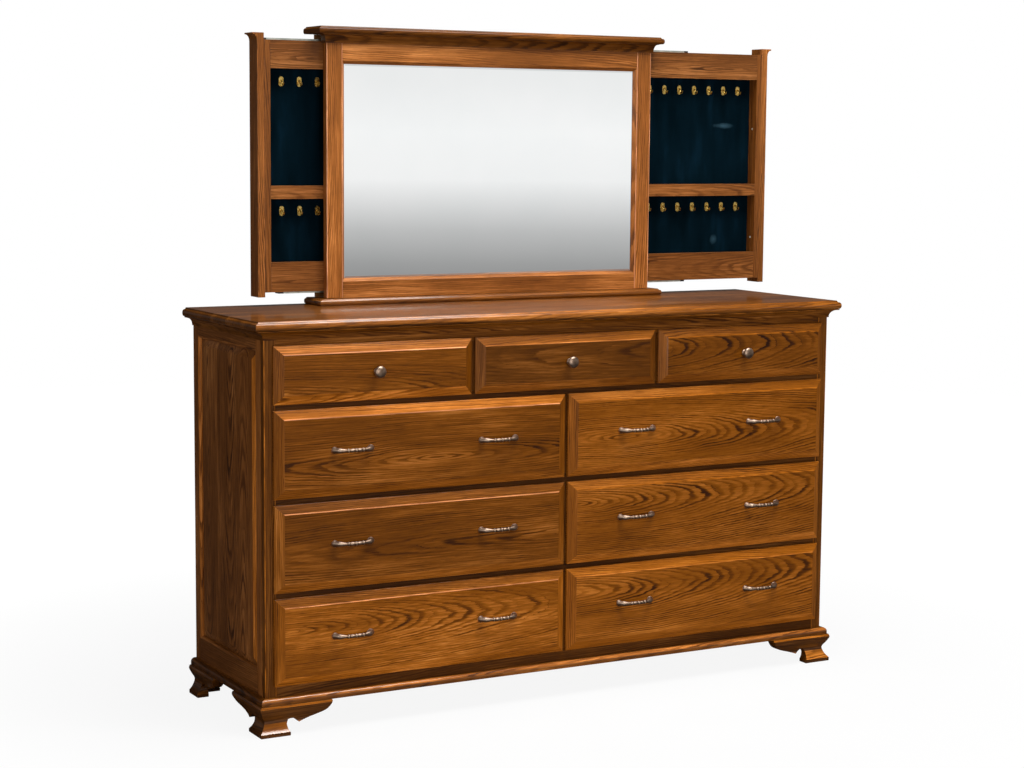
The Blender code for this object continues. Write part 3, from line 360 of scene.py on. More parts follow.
def ordered(one, other):
    return Vector(map(min, one, other)), Vector(map(max, one, other))


def boxOf(verts):
    spots = [vert.co for vert in verts]
    low = Vector([min(spot[axis] for spot in spots) for axis in range(3)])
    high = Vector([max(spot[axis] for spot in spots) for axis in range(3)])
    return low, high


def turnedTo(side, ahead):
    # the turn that brings x to side and z to ahead
    return Matrix((side, ahead.cross(side), ahead)).transposed().to_4x4()


def startWork():
    work = {"bm": bmesh.new(), "planks": []}
    work["bm"].faces.layers.int.new("plank")
    return work


def copyNode(node):
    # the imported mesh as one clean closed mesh, with its flat faces whole again
    work = {"bm": bmesh.new(), "planks": []}
    bm = work["bm"]
    bm.from_mesh(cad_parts[node].data)
    bmesh.ops.remove_doubles(bm, verts=bm.verts, dist=sameSpot)
    bmesh.ops.dissolve_limit(bm, angle_limit=0.01, use_dissolve_boundaries=False, verts=bm.verts,
                             edges=bm.edges, delimit=set())
    bm.faces.layers.int.new("plank")
    return work


def addPlank(work, low, high, grain):
    # along is the grain's direction, through the board's thickness. drift moves the arches off the
    # board's middle, pith says how far under its face the heart of the tree was, and slant how fast
    # the heart comes nearer along the board, which gives more arches
    size = high - low
    order = sorted(range(3), key=lambda axis: size[axis])
    along = grain.get("along", order[2])
    through = grain.get("through", order[0] if order[0] != along else order[1])
    across = 3 - along - through
    # what isn't given differs from board to board, but is the same each run
    number = next(plankNumbers)
    chance = [(number * step) % 1.0 for step in (0.618, 0.414, 0.732)]
    if size[across] < narrowBoard:
        drift = 0.055 + 0.05 * chance[2]
    else:
        drift = (chance[2] - 0.5) * 0.5 * size[across]
    work["planks"].append({
        "centre": (low + high) / 2, "along": along, "through": through, "across": across,
        "flip": grain.get("flip", 1 if chance[0] > 0.5 else -1),
        "shift": chance[1] * 0.9 - 0.45,
        "drift": grain.get("drift", drift),
        "pith": grain.get("pith", 0.045 + 0.03 * chance[0]),
        "slant": grain.get("slant", 0.0),
        "tone": grain.get("tone", 0.35 + 0.3 * chance[1]),
    })
    return len(work["planks"])


def claimFaces(work, plank, choose=None):
    mark = work["bm"].faces.layers.int["plank"]
    for face in work["bm"].faces:
        if face[mark] == 0 and (choose is None or choose(face.calc_center_median(), face.normal)):
            face[mark] = plank


def looksUpAhead(spot, normal):
    # the curve of a moulding that faces up and ahead, which is painted paler as a painted highlight
    return normal.y < -0.2 and 0.25 < normal.z < 0.97


def easeEdges(bm, edges, width, steps=2):
    return bmesh.ops.bevel(bm, geom=edges, offset=width, offset_type="OFFSET", segments=steps, profile=0.5,
                           affect="EDGES", material=-1, clamp_overlap=True)


def sharpEdges(bm, angle):
    limit = math.radians(angle)
    return [edge for edge in bm.edges if edge.is_manifold and edge.calc_face_angle(0.0) > limit]


def cutAcross(bm, spot, normal, geom=None, **options):
    # scores the mesh along a plane, so that its faces end there
    geom = geom or bm.verts[:] + bm.edges[:] + bm.faces[:]
    return bmesh.ops.bisect_plane(bm, geom=geom, dist=0.000001, plane_co=spot, plane_no=normal, **options)


def addCube(bm, middle, size):
    place = Matrix.Translation(middle) @ Matrix.Diagonal((*size, 1))
    made = bmesh.ops.create_cube(bm, size=1, matrix=place)
    return list({edge for vert in made["verts"] for edge in vert.link_edges})


def addBoard(work, low, high, ease=0.0009, wearAndHighlight=None, **grain):
    low, high = ordered(low, high)
    easeEdges(work["bm"], addCube(work["bm"], (low + high) / 2, high - low), ease)
    if wearAndHighlight is not None:
        # the corners that face ahead are painted paler, as a painted highlight
        paintedHighlight = addPlank(work, low, high, dict(grain, tone=wearAndHighlight))
        claimFaces(work, paintedHighlight, lambda spot, normal: normal.y < -0.2 and abs(normal.x) > 0.2)
    claimFaces(work, addPlank(work, low, high, grain))


def addStrip(work, points, run, **grain):
    # a strip with the given outline, drawn out along run
    bm = work["bm"]
    face = bm.faces.new([bm.verts.new(point) for point in points])
    made = bmesh.ops.extrude_face_region(bm, geom=[face])
    verts = [item for item in made["geom"] if isinstance(item, bmesh.types.BMVert)]
    bmesh.ops.translate(bm, verts=verts, vec=run)
    corners = set(face.verts) | set(verts)
    faces = list({item for vert in corners for item in vert.link_faces})
    bmesh.ops.recalc_face_normals(bm, faces=faces)
    claimFaces(work, addPlank(work, *boxOf(corners), grain))


def addChannel(work, low, high, up, wall):
    # a U of strip steel along x, open towards up
    low, high = ordered(low, high)
    y0, y1 = low.y, high.y
    base, tip = (low.z, high.z) if up > 0 else (high.z, low.z)
    inner = base + up * wall
    section = [
        (y0, tip), (y0, base), (y1, base), (y1, tip),
        (y1 - wall, tip), (y1 - wall, inner), (y0 + wall, inner), (y0 + wall, tip)]
    addStrip(work, [(low.x, y, z) for y, z in section], (high.x - low.x, 0, 0))


def addRings(work, stations, sides):
    # a bent rod through (centre, radius, direction, side) stations, closed at both ends
    bm = work["bm"]
    rings = []
    for centre, radius, direction, side in stations:
        place = Matrix.Translation(centre) @ turnedTo(side, direction)
        made = bmesh.ops.create_circle(bm, cap_ends=False, segments=sides, radius=radius, matrix=place)
        rings.append(list({edge for vert in made["verts"] for edge in vert.link_edges}))
    ends = rings[0] + rings[-1]
    made = []
    for first, second in zip(rings, rings[1:]):
        made += bmesh.ops.bridge_loops(bm, edges=first + second)["faces"]
    made += bmesh.ops.holes_fill(bm, edges=ends, sides=sides)["faces"]
    bmesh.ops.recalc_face_normals(bm, faces=made)


def keepPart(work, level, above):
    # cuts the mesh at a height and keeps one part of it, closed again
    bm = work["bm"]
    cut = cutAcross(bm, (0, 0, level), (0, 0, 1), clear_inner=above, clear_outer=not above)
    edges = [item for item in cut["geom_cut"] if isinstance(item, bmesh.types.BMEdge) and item.is_boundary]
    bmesh.ops.holes_fill(bm, edges=edges, sides=0)


def dropIslands(work, unwanted):
    # removes the loose parts whose middle passes the test
    bm = work["bm"]
    left = set(bm.faces)
    doomed = []
    while left:
        island, edge = set(), [left.pop()]
        while edge:
            face = edge.pop()
            island.add(face)
            near = {other for side in face.edges for other in side.link_faces} & left
            left -= near
            edge += near
        middle = sum((face.calc_center_median() for face in island), Vector()) / len(island)
        if unwanted(middle):
            doomed += island
    bmesh.ops.delete(bm, geom=doomed, context="FACES")


def layGrain(work):
    # writes each board's own lengths along, across and through the grain on its corners
    bm = work["bm"]
    mark = bm.faces.layers.int["plank"]
    grain = bm.loops.layers.float_vector.new("grain")
    tone = bm.loops.layers.float.new("tone")
    for face in bm.faces:
        if not face[mark]:
            continue
        plank = work["planks"][face[mark] - 1]
        for loop in face.loops:
            spot = loop.vert.co - plank["centre"]
            loop[grain] = (
                spot[plank["along"]] * plank["flip"] + plank["shift"],
                spot[plank["across"]] + plank["drift"],
                spot[plank["through"]] + plank["pith"] + plank["slant"] * spot[plank["along"]],
            )
            loop[tone] = plank["tone"]
    bm.faces.layers.int.remove(mark)


def finishPiece(name, work, body, material, replaced=(), angle=32):
    layGrain(work)
    mesh = bpy.data.meshes.new(name)
    work["bm"].to_mesh(mesh)
    work["bm"].free()
    mesh.shade_smooth()
    mesh.set_sharp_from_angle(angle=math.radians(angle))
    mesh.materials.append(material)
    piece = bpy.data.objects.new(name, mesh)
    bpy.context.scene.collection.objects.link(piece)
    level = piece.modifiers.new("evenShading", "WEIGHTED_NORMAL")
    level.keep_sharp = True
    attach(piece, body)
    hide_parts(*replaced)


rows = ("lower", "middle", "upper", "top")
drawers = {}
for row in rows:
    for hand in ("left", "middle", "right") if row == "top" else ("left", "right"):
        low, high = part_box(f"{row}_{hand}_drawer_front")
        drawers[row, hand] = {
            "low": low, "high": high, "body": f"{row}_{hand}_drawer", "name": row + hand.title()}
frontLap = 0.008  # of the fronts over the face frame

# a board's tone runs from dark to pale, and 0.5 leaves the stain as it is. On some faces it also carries
# painted light and shade
topBoard = {"tones": (0.16, 0.24, 0.06, 0.18, 0.12), "noseTone": 0.7, "nosePith": 0.09}


def makeTop(look):
    # five staves glued side by side, and a paler nose
    work = copyNode("top_board")
    low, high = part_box("top_board")
    step = (high.y - low.y) / len(look["tones"])
    for i in range(1, len(look["tones"])):
        cutAcross(work["bm"], (0, low.y + i * step, 0), (0, 1, 0))
    noseGrain = {"along": 0, "through": 1, "pith": look["nosePith"], "tone": look["noseTone"]}
    nose = addPlank(work, low, high, noseGrain)
    claimFaces(work, nose, lambda spot, normal: normal.y < -0.3 and normal.z > -0.3)
    for i, tone in enumerate(look["tones"]):
        y = low.y + i * step
        board = Vector((low.x, y, low.z)), Vector((high.x, y + step, high.z))
        plank = addPlank(work, *board, {"along": 0, "through": 2, "tone": tone})
        claimFaces(work, plank, lambda spot, normal: spot.y < y + step + sameSpot)
    finishPiece("topBoard", work, "cabinet", polishedOak, ["top_board"])


mouldings = {
    "pith": 0.09, "drift": 0.03, "endShade": 0.2, "bedTone": 0.25, "baseTone": 0.30, "baseHighlight": 1.75,
}


def mitredPiece(name, node, tone, work=None, box=None, material=stainedOak, wearAndHighlight=None):
    # a moulding or a board with moulded edges: front run along x, end runs along y
    work = work or copyNode(node)
    low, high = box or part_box(node)
    cut = {"pith": mouldings["pith"], "drift": mouldings["drift"], "tone": tone}
    if wearAndHighlight is not None:
        # the curve that faces up and ahead is painted paler, a painted highlight
        paintedHighlight = addPlank(work, low, high, dict(cut, along=0, through=1, tone=wearAndHighlight))
        claimFaces(work, paintedHighlight, looksUpAhead)
    front = addPlank(work, low, high, dict(cut, along=0, through=1))
    ends = dict(cut, along=1, through=0, tone=tone - mouldings["endShade"])
    sides = [addPlank(work, low, high, ends) for _ in range(2)]
    middle = (low.x + high.x) / 2
    half = (high.x - low.x) / 2
    deepest = 0.06  # of a mitre
    for side, plank in zip((-1, 1), sides):
        claimFaces(work, plank, lambda spot, normal: (spot.x - middle) * side > 0 and
                   abs(normal.y) < 0.5 and half - abs(spot.x - middle) < min(spot.y - low.y, deepest))
    claimFaces(work, front)
    finishPiece(name, work, "cabinet", material, [node])


# the rails and dividers between the fronts are painted darker, as painted shade for the deep shade they lie
# in, and the highest rail is in view and darkened less. The outer stiles' corners that face ahead carry a
# painted highlight
faceFrame = {
    "ease": 0.0018, "highlightTone": 1.5, "stileTone": 0.06, "railTones": (-0.05, -0.15, -0.15, -0.15, 0.30),
    "dividerTone": -0.12,
}


def makeFaceFrame(look):
    work = startWork()
    low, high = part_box("face_frame")
    left = drawers["lower", "left"]["low"].x + frontLap
    right = drawers["lower", "right"]["high"].x - frontLap
    y0, y1 = low.y, high.y
    for x0, x1 in ((low.x, left), (right, high.x)):
        addBoard(work, (x0, y0, low.z), (x1, y1, high.z), look["ease"], look["highlightTone"],
                 tone=look["stileTone"])
    levels = [low.z]
    for row in rows:
        levels += [drawers[row, "left"]["low"].z + frontLap, drawers[row, "left"]["high"].z - frontLap]
    levels.append(high.z)
    for bottom, top, tone in zip(levels[::2], levels[1::2], look["railTones"]):
        addBoard(work, (left, y0, bottom), (right, y1, top), tone=tone)
    for row, bottom, top in zip(rows, levels[1::2], levels[2::2]):
        hands = [hand for other, hand in drawers if other == row]
        for before, after in zip(hands, hands[1:]):
            x0 = drawers[row, before]["high"].x - frontLap
            x1 = drawers[row, after]["low"].x + frontLap
            addBoard(work, (x0, y0, bottom), (x1, y1, top), along=2, tone=look["dividerTone"])
    finishPiece("faceFrame", work, "cabinet", stainedOak, ["face_frame"])


# first of each pair of tones: the front stile, the bottom rail and the strip beside the front stile. The
# front stile is painted paler as painted light from ahead on the left, and the strip beside the back stile is
# a painted highlight
sideFrame = {
    "frontStile": 0.0292, "backStile": 0.0316, "topRail": 0.0467, "bottomRail": 0.0758,
    "sticking": 0.0075, "stickingDip": 0.0003, "recess": 0.009, "panelThick": 0.006, "margin": 0.031,
    "rise": 0.008, "stileTones": (0.95, 0.45), "railTones": (0.5, 0.4), "stickingTones": (0.95, 1.7),
    "levelStickingTone": 0.70, "panelTones": (0.56, 0.48, 0.53), "marginHighlightTone": 2.3,
}


def makeSide(name, node, side, look):
    work = startWork()
    low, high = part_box(node)
    outer, inner = (low.x, high.x) if side < 0 else (high.x, low.x)
    y0, y1 = low.y + look["frontStile"], high.y - look["backStile"]
    z0, z1 = low.z + look["bottomRail"], high.z - look["topRail"]
    for start, end, tone in zip((low.y, y1), (y0, high.y), look["stileTones"]):
        addBoard(work, (inner, start, low.z), (outer, end, high.z), tone=tone)
    for start, end, tone in zip((low.z, z1), (z0, high.z), look["railTones"]):
        addBoard(work, (inner, y0, start), (outer, y1, end), tone=tone)
    # the moulded inner edge, a quarter round that starts just under the frame's face
    hidden = 0.001  # how far the strip and the panel run under what covers their edges
    wide, deep, dip = look["sticking"], look["recess"] + hidden, look["stickingDip"]
    angles = [math.radians(angle) for angle in range(0, 91, 10)]
    arc = [(wide * math.sin(angle), wide * (1 - math.cos(angle)) + dip) for angle in angles]
    lap = 0.0005  # into the stile or rail
    section = [(-lap, deep), (-lap, dip), *arc, (wide, deep)]
    # the strip beside the back stile faces ahead and is painted paler, a painted highlight
    for y, turn, tone in zip((y0, y1), (1, -1), look["stickingTones"]):
        points = [(outer - side * down, y + turn * out, z0) for out, down in section]
        addStrip(work, points, (0, 0, z1 - z0), along=2, tone=tone)
    for z, turn in ((z0, 1), (z1, -1)):
        points = [(outer - side * down, y0, z + turn * out) for out, down in section]
        addStrip(work, points, (0, y1 - y0, 0), along=1, tone=look["levelStickingTone"])
    # the raised panel, glued up from upright boards that show as a change of grain
    bm = work["bm"]
    old = set(bm.faces)
    face = outer - side * look["recess"]
    edge = wide - hidden
    back = face - side * look["panelThick"]
    first, last = ordered((back, y0 + edge, z0 + edge), (face, y1 - edge, z1 - edge))
    addCube(bm, (first + last) / 2, last - first)
    panel = [item for item in bm.faces if item not in old]
    shown = max(panel, key=lambda item: item.normal.x * side)
    bmesh.ops.inset_individual(bm, faces=[shown], thickness=look["margin"], depth=look["rise"])
    step = (y1 - y0) / len(look["panelTones"])
    for i in range(1, len(look["panelTones"])):
        panel = [item for item in bm.faces if item not in old]
        edges = list({item for made in panel for item in made.edges})
        verts = list({item for made in panel for item in made.verts})
        cutAcross(bm, (0, y0 + i * step, 0), (0, 1, 0), verts + edges + panel)
    boards = []
    for i in range(len(look["panelTones"])):
        y = y0 + i * step
        boards.append((Vector((first.x, y, first.z)), Vector((last.x, y + step, last.z))))
    # the margins of the panel that face ahead are painted paler, a painted highlight
    paintedHighlight = addPlank(work, *boards[0], {"along": 2, "through": 0, "tone": look["marginHighlightTone"]})
    claimFaces(work, paintedHighlight, lambda spot, normal: normal.y < -0.2 and abs(normal.x) > 0.5)
    for board, tone in zip(boards, look["panelTones"]):
        plank = addPlank(work, *board, {"along": 2, "through": 0, "tone": tone})
        claimFaces(work, plank, lambda spot, normal: spot.y < board[1].y + sameSpot)
    claimFaces(work, plank)
    finishPiece(name, work, "cabinet", sideOak, [node])


interior = {"thick": 0.020, "guideHeight": 0.015}


def makeInterior(look):
    # the boards under the drawers, the partition, the dividers of the top row, and the guides
    work = startWork()
    low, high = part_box("carcase_interior")
    floors = [drawers[row, "left"]["low"].z + frontLap for row in rows]
    y0, y1 = low.y, high.y
    for floor in floors:
        addBoard(work, (low.x, y0, floor - look["thick"]), (high.x, y1, floor), along=0)
    x0 = drawers["lower", "left"]["high"].x - frontLap
    x1 = drawers["lower", "right"]["low"].x + frontLap
    for bottom, top in zip(floors, floors[1:]):
        addBoard(work, (x0, y0, bottom), (x1, y1, top - look["thick"]), along=1)
    for before, after in (("left", "middle"), ("middle", "right")):
        x0 = drawers["top", before]["high"].x - frontLap
        x1 = drawers["top", after]["low"].x + frontLap
        addBoard(work, (x0, y0, floors[-1]), (x1, y1, high.z), along=1)
    left = drawers["lower", "left"]["low"].x + frontLap
    right = drawers["lower", "right"]["high"].x - frontLap
    for floor in floors:
        for x0, x1 in ((low.x, left), (right, high.x)):
            addBoard(work, (x0, y0, floor), (x1, y1, floor + look["guideHeight"]), along=1)
    finishPiece("drawerRunners", work, "cabinet", paleMaple, ["carcase_interior"])


def addScrew(work, spot, direction, radius, rise):
    # a low domed head with a shallow dish in its middle
    bm = work["bm"]
    direction = Vector(direction)
    side = Vector((0, 0, 1)) if abs(direction.z) < 0.5 else Vector((1, 0, 0))
    place = Matrix.Translation(Vector(spot) + direction * rise / 2) @ turnedTo(side, direction)
    old = set(bm.faces)
    bmesh.ops.create_cone(bm, cap_ends=True, segments=16, radius1=radius, radius2=radius * 0.55, depth=rise,
                          matrix=place)
    made = [face for face in bm.faces if face not in old]
    cap = max(made, key=lambda face: face.calc_center_median().dot(direction))
    bmesh.ops.inset_individual(bm, faces=[cap], thickness=radius * 0.25, depth=-rise * 0.5)
    bmesh.ops.recalc_face_normals(bm, faces=[face for face in bm.faces if face not in old])


backBoard = {
    "ease": 0.0006, "drift": 0.06, "pith": 0.10, "edge": 0.012, "screwRadius": 0.0042, "screwRise": 0.0012,
    "screwsAcross": 7, "screwsUp": 4,
}


def makeBackBoard(name, node, look):
    # plywood, held by a row of screws along each edge
    work = startWork()
    low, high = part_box(node)
    addBoard(work, low, high, look["ease"], along=0, through=1, drift=look["drift"], pith=look["pith"])
    finishPiece(name, work, "cabinet", backPly, [node])
    edge = look["edge"]
    across, up = look["screwsAcross"], look["screwsUp"]
    spots = []
    for i in range(across):
        x = low.x + edge + (high.x - low.x - 2 * edge) * i / (across - 1)
        spots += [(x, low.z + edge), (x, high.z - edge)]
    for i in range(1, up):
        z = low.z + edge + (high.z - low.z - 2 * edge) * i / up
        spots += [(low.x + edge, z), (high.x - edge, z)]
    screws = startWork()
    for x, z in spots:
        addScrew(screws, (x, high.y - look["ease"], z), (0, 1, 0), look["screwRadius"], look["screwRise"])
    finishPiece(name + "Screws", screws, "cabinet", zincSteel)


bracketFoot = {
    "pith": 0.07, "drift": 0.02, "acrossTone": -0.06, "alongTone": 0.04,
    "highlightTones": {"front": 1.35, "back": 0.1},
}


def makeFoot(end, hand, side, look):
    node = f"{end}_{hand}_foot"
    work = copyNode(node)
    low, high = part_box(node)
    # the two wings meet in a mitre at the outer corner
    corner = low.x if side < 0 else high.x
    ahead = {"along": 0, "through": 1, "pith": look["pith"], "drift": look["drift"]}
    across = addPlank(work, low, high, dict(ahead, tone=look["acrossTone"]))
    along = addPlank(work, low, high, dict(ahead, along=1, through=0, tone=look["alongTone"]))
    # the curve that faces up and ahead is painted paler as a painted highlight, hardly at all on the back
    # feet, which stand in shade
    wearAndHighlight = addPlank(work, low, high, dict(ahead, tone=look["highlightTones"][end]))
    claimFaces(work, wearAndHighlight, looksUpAhead)
    claimFaces(work, along, lambda spot, normal: abs(spot.x - corner) < spot.y - low.y and
               abs(normal.y) < 0.7)
    claimFaces(work, across)
    finishPiece(f"{end}{hand.title()}Foot", work, "cabinet", polishedOak, [node], angle=28)


makeTop(topBoard)
mitredPiece("bedMoulding", "bed_moulding", mouldings["bedTone"])
mitredPiece("baseMoulding", "base_moulding", mouldings["baseTone"], material=polishedOak,
            wearAndHighlight=mouldings["baseHighlight"])
makeFaceFrame(faceFrame)
makeSide("leftSide", "left_side", -1, sideFrame)
makeSide("rightSide", "right_side", 1, sideFrame)
makeInterior(interior)
makeBackBoard("backBoard", "back_panel", backBoard)
for end in ("front", "back"):
    makeFoot(end, "left", -1, bracketFoot)
    makeFoot(end, "right", 1, bracketFoot)
print("cabinet: done")

# drift and pith choose the cut of the board: a small pith depth gives wide arches, drift moves them
# up or down the front, and slant adds more of them
fronts = {
    ("top", "left"): {
        "tone": 0.40, "drift": 0.062, "pith": 0.055, "slant": 0.01, "flip": 1,
        "upperBevelLight": 1.25, "lowerBevelLight": 0.9, "paintedHighlight": 2.5},
    ("top", "middle"): {
        "tone": 0.04, "drift": -0.02, "pith": 0.060, "slant": 0.02, "flip": -1,
        "upperBevelLight": 0.9, "lowerBevelLight": 0.7, "paintedHighlight": 1.8},
    ("top", "right"): {"tone": 0.33, "drift": -0.022, "pith": 0.050, "slant": 0.07, "flip": 1},
    ("upper", "left"): {
        "tone": 0.36, "drift": 0.030, "pith": 0.036, "slant": 0.01, "flip": 1,
        "upperBevelLight": 1.15, "paintedHighlight": 2.3},
    ("upper", "right"): {"tone": 0.62, "drift": 0.012, "pith": 0.060, "slant": 0.05, "flip": 1},
    ("middle", "left"): {
        "tone": 0.32, "drift": 0.020, "pith": 0.050, "slant": 0.03, "flip": -1, "paintedHighlight": 2.2},
    ("middle", "right"): {"tone": 0.62, "drift": -0.052, "pith": 0.062, "slant": 0.06, "flip": 1},
    ("lower", "left"): {
        "tone": 0.81, "drift": -0.03, "pith": 0.052, "slant": 0.05, "flip": 1,
        "upperBevelLight": -0.2, "paintedHighlight": 1.6},
    ("lower", "right"): {
        "tone": 0.78, "drift": -0.045, "pith": 0.055, "slant": 0.04, "flip": 1, "upperBevelLight": 0.3},
}
# the painted highlight on the step and the painted light and shade on the bevels are added to the tone of the
# board, and a value that a front has of its own, above, goes before the one here
drawerFront = {
    "ease": 0.0004, "easedAngle": 20, "stepSlope": 0.0024, "stepDepth": 0.0013, "backEdge": 0.004,
    "paintedHighlight": 0.9, "upperBevelLight": 0.2, "lowerBevelLight": 0.55, "endBevel": 0.15,
}


def makeFront(key, look, grain):
    drawer = drawers[key]
    node = drawer["body"] + "_front"
    work = copyNode(node)
    low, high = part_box(node)
    # the step round the field is cut to a slope, and its top is painted paler further on, as a painted
    # highlight
    bm = work["bm"]
    middle = (low + high) / 2
    for vert in bm.verts:
        if vert.co.y < low.y + sameSpot:
            vert.co.x -= math.copysign(look["stepSlope"], vert.co.x - middle.x)
            vert.co.z -= math.copysign(look["stepSlope"], vert.co.z - middle.z)
    easeEdges(bm, sharpEdges(bm, look["easedAngle"]), look["ease"])
    behind = high.y - look["backEdge"]
    tone = grain["tone"]
    level = dict(grain, along=0, through=1)
    # the bevels at both ends cut across the grain, which shows as fine upright streaks there
    upright = {"along": 2, "through": 1, "pith": 0.15, "drift": 0.12, "tone": tone + look["endBevel"]}
    ends = addPlank(work, low, high, upright)
    claimFaces(work, ends, lambda spot, normal: abs(normal.x) > 0.3 and spot.y < behind)
    # the top of the step is painted paler, a painted highlight
    wearAndHighlight = addPlank(work, low, high, dict(level, tone=tone + grain.get("paintedHighlight", look["paintedHighlight"])))
    claimFaces(work, wearAndHighlight, lambda spot, normal: normal.z > 0.4 and spot.y < low.y + look["stepDepth"])
    # the upper and lower bevels get painted light and shade of their own: light from above on the upper ones,
    # light from the floor and the front on the lower ones
    for sign, name in ((1, "upperBevelLight"), (-1, "lowerBevelLight")):
        bevel = addPlank(work, low, high, dict(level, tone=tone + grain.get(name, look[name])))
        claimFaces(work, bevel, lambda spot, normal: normal.z * sign > 0.3 and spot.y < behind)
    claimFaces(work, addPlank(work, low, high, level))
    oak = boldOak if key[1] == "right" else stainedOak
    finishPiece(drawer["name"] + "Front", work, drawer["body"], oak, [node])


drawerBox = {"side": 0.014, "bottom": 0.007, "rise": 0.010, "ease": 0.0012, "bottomEase": 0.0003}


def makeBox(key, look):
    # four sides jointed at the corners, and a bottom held in a groove
    drawer = drawers[key]
    node = drawer["body"] + "_box"
    low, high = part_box(node)
    work = startWork()
    wall = look["side"]
    floor = low.z + look["rise"]
    for x in (low.x, high.x - wall):
        addBoard(work, (x, low.y, low.z), (x + wall, high.y, high.z), look["ease"], along=1)
    for y in (low.y, high.y - wall):
        addBoard(work, (low.x + wall, y, low.z), (high.x - wall, y + wall, high.z), look["ease"], along=0)
    top = floor + look["bottom"]
    addBoard(work, (low.x + wall, low.y + wall, floor), (high.x - wall, high.y - wall, top),
             look["bottomEase"], along=0)
    finishPiece(drawer["name"] + "Box", work, drawer["body"], paleMaple, [node])


# half of the bow: the angle round it in degrees, and the thickness there as a share of the radius
bowPull = {
    "span": 0.096, "projection": 0.026, "radius": 0.0052, "sides": 20,
    "shape": [
        (0, 1.70), (3, 1.70), (6, 1.60), (10, 1.42), (15, 1.28), (20, 1.22), (26, 1.26), (32, 1.30),
        (38, 1.22), (45, 1.05), (52, 0.88), (58, 0.76), (61.5, 0.74), (63, 0.84), (64.5, 1.00), (66, 1.06),
        (67.5, 1.00), (69, 0.84), (70.5, 0.76), (73, 0.84), (76, 0.92), (79, 0.94), (82, 0.89),
        (84.5, 0.80), (86, 0.77), (87.2, 0.86), (88.5, 1.00), (90, 1.05)],
}


def makePullMesh(look):
    # a bow that swells out of two round feet, thins, and has two barrels between three collars
    half = look["span"] / 2
    rise = look["projection"] - look["radius"]
    shape = look["shape"] + [(180 - angle, share) for angle, share in reversed(look["shape"][:-1])]
    work = startWork()
    up = Vector((0, 0, 1))
    stations = []
    for angle, share in shape:
        t = math.radians(angle)
        centre = Vector((-half * math.cos(t), -rise * math.sin(t), 0))
        direction = Vector((half * math.sin(t), -rise * math.cos(t), 0)).normalized()
        stations.append((centre, look["radius"] * share, direction, up))
    addRings(work, stations, look["sides"])
    return work


# the outline as shares of the radius and of the way out
mushroomKnob = {
    "radius": 0.015, "projection": 0.0255, "steps": 36,
    "shape": [
        (0.0, 0.0), (0.60, 0.0), (0.61, 0.04), (0.57, 0.10), (0.45, 0.16), (0.36, 0.22), (0.33, 0.29),
        (0.35, 0.36), (0.46, 0.39), (0.52, 0.43), (0.52, 0.47), (0.49, 0.50), (0.70, 0.53), (0.89, 0.58),
        (0.98, 0.65), (1.00, 0.72), (0.98, 0.80), (0.90, 0.88), (0.76, 0.94), (0.56, 0.98), (0.30, 0.997),
        (0.0, 1.0)],
}


def makeKnobMesh(look):
    # a mushroom knob with a collar on its neck, turned round the y axis
    work = startWork()
    bm = work["bm"]
    radius, reach = look["radius"], look["projection"]
    verts = [bm.verts.new((radius * out, -reach * along, 0)) for out, along in look["shape"]]
    edges = [bm.edges.new(pair) for pair in zip(verts, verts[1:])]
    bmesh.ops.spin(bm, geom=verts + edges, cent=(0, 0, 0), axis=(0, 1, 0), dvec=(0, 0, 0), angle=2 * math.pi,
                   steps=look["steps"], use_merge=True, use_duplicate=False)
    bmesh.ops.remove_doubles(bm, verts=bm.verts, dist=sameSpot)
    bmesh.ops.recalc_face_normals(bm, faces=bm.faces)
    return work


def hangMetal(name, work, node, body):
    # moves a pull or knob that was made at the origin onto the middle of its node's back
    low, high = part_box(node)
    place = Vector(((low.x + high.x) / 2, high.y, (low.z + high.z) / 2))
    bmesh.ops.translate(work["bm"], verts=work["bm"].verts, vec=place)
    finishPiece(name, work, body, rubbedBronze, [node], angle=60)


for key, grain in fronts.items():
    makeFront(key, drawerFront, grain)
    makeBox(key, drawerBox)
    row, place = key
    name, body = drawers[key]["name"], drawers[key]["body"]
    if row == "top":
        hangMetal(name + "Knob", makeKnobMesh(mushroomKnob), f"{row}_{place}_knob", body)
        continue
    for hand in ("left", "right"):
        hangMetal(f"{name}{hand.title()}Pull", makePullMesh(bowPull), f"{row}_{place}_{hand}_pull", body)
print("drawers: ", len(fronts))

plinth = {"thick": 0.0167, "tone": 0.45}
cap = {"thick": 0.0187, "boardTone": 0.02, "mouldingTone": 0.15}
cutSlack = 0.0001  # past the cap board's underside, so that a cut runs beside that face, not in it


def makePlinth(look):
    low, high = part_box("mirror_plinth")
    top = low.z + look["thick"]
    work = copyNode("mirror_plinth")
    keepPart(work, top, False)
    boardBox = low, Vector((high.x, high.y, top))
    mitredPiece("plinth", "mirror_plinth", look["tone"], work, boardBox, polishedOak)
    return top


def makeCap(look):
    low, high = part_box("mirror_cap")
    underside = high.z - look["thick"]
    board = copyNode("mirror_cap")
    keepPart(board, underside + cutSlack, True)
    boardBox = Vector((low.x, low.y, underside)), high
    mitredPiece("capBoard", "mirror_cap", look["boardTone"], board, boardBox)
    moulding = copyNode("mirror_cap")
    keepPart(moulding, underside - cutSlack, False)
    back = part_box("mirror_frame")[1].y
    dropIslands(moulding, lambda middle: middle.y > back)
    mitredPiece("capMoulding", "mirror_cap", look["mouldingTone"], moulding, boxOf(moulding["bm"].verts))
    return underside


slides = {
    "wall": 0.0015, "width": 0.030, "depth": 0.0115, "length": 0.414, "stopLength": 0.013, "play": 0.0004,
    "inset": 0.0355, "endGap": 0.0005, "frontGap": 0.001, "battenTone": 0.3,
}


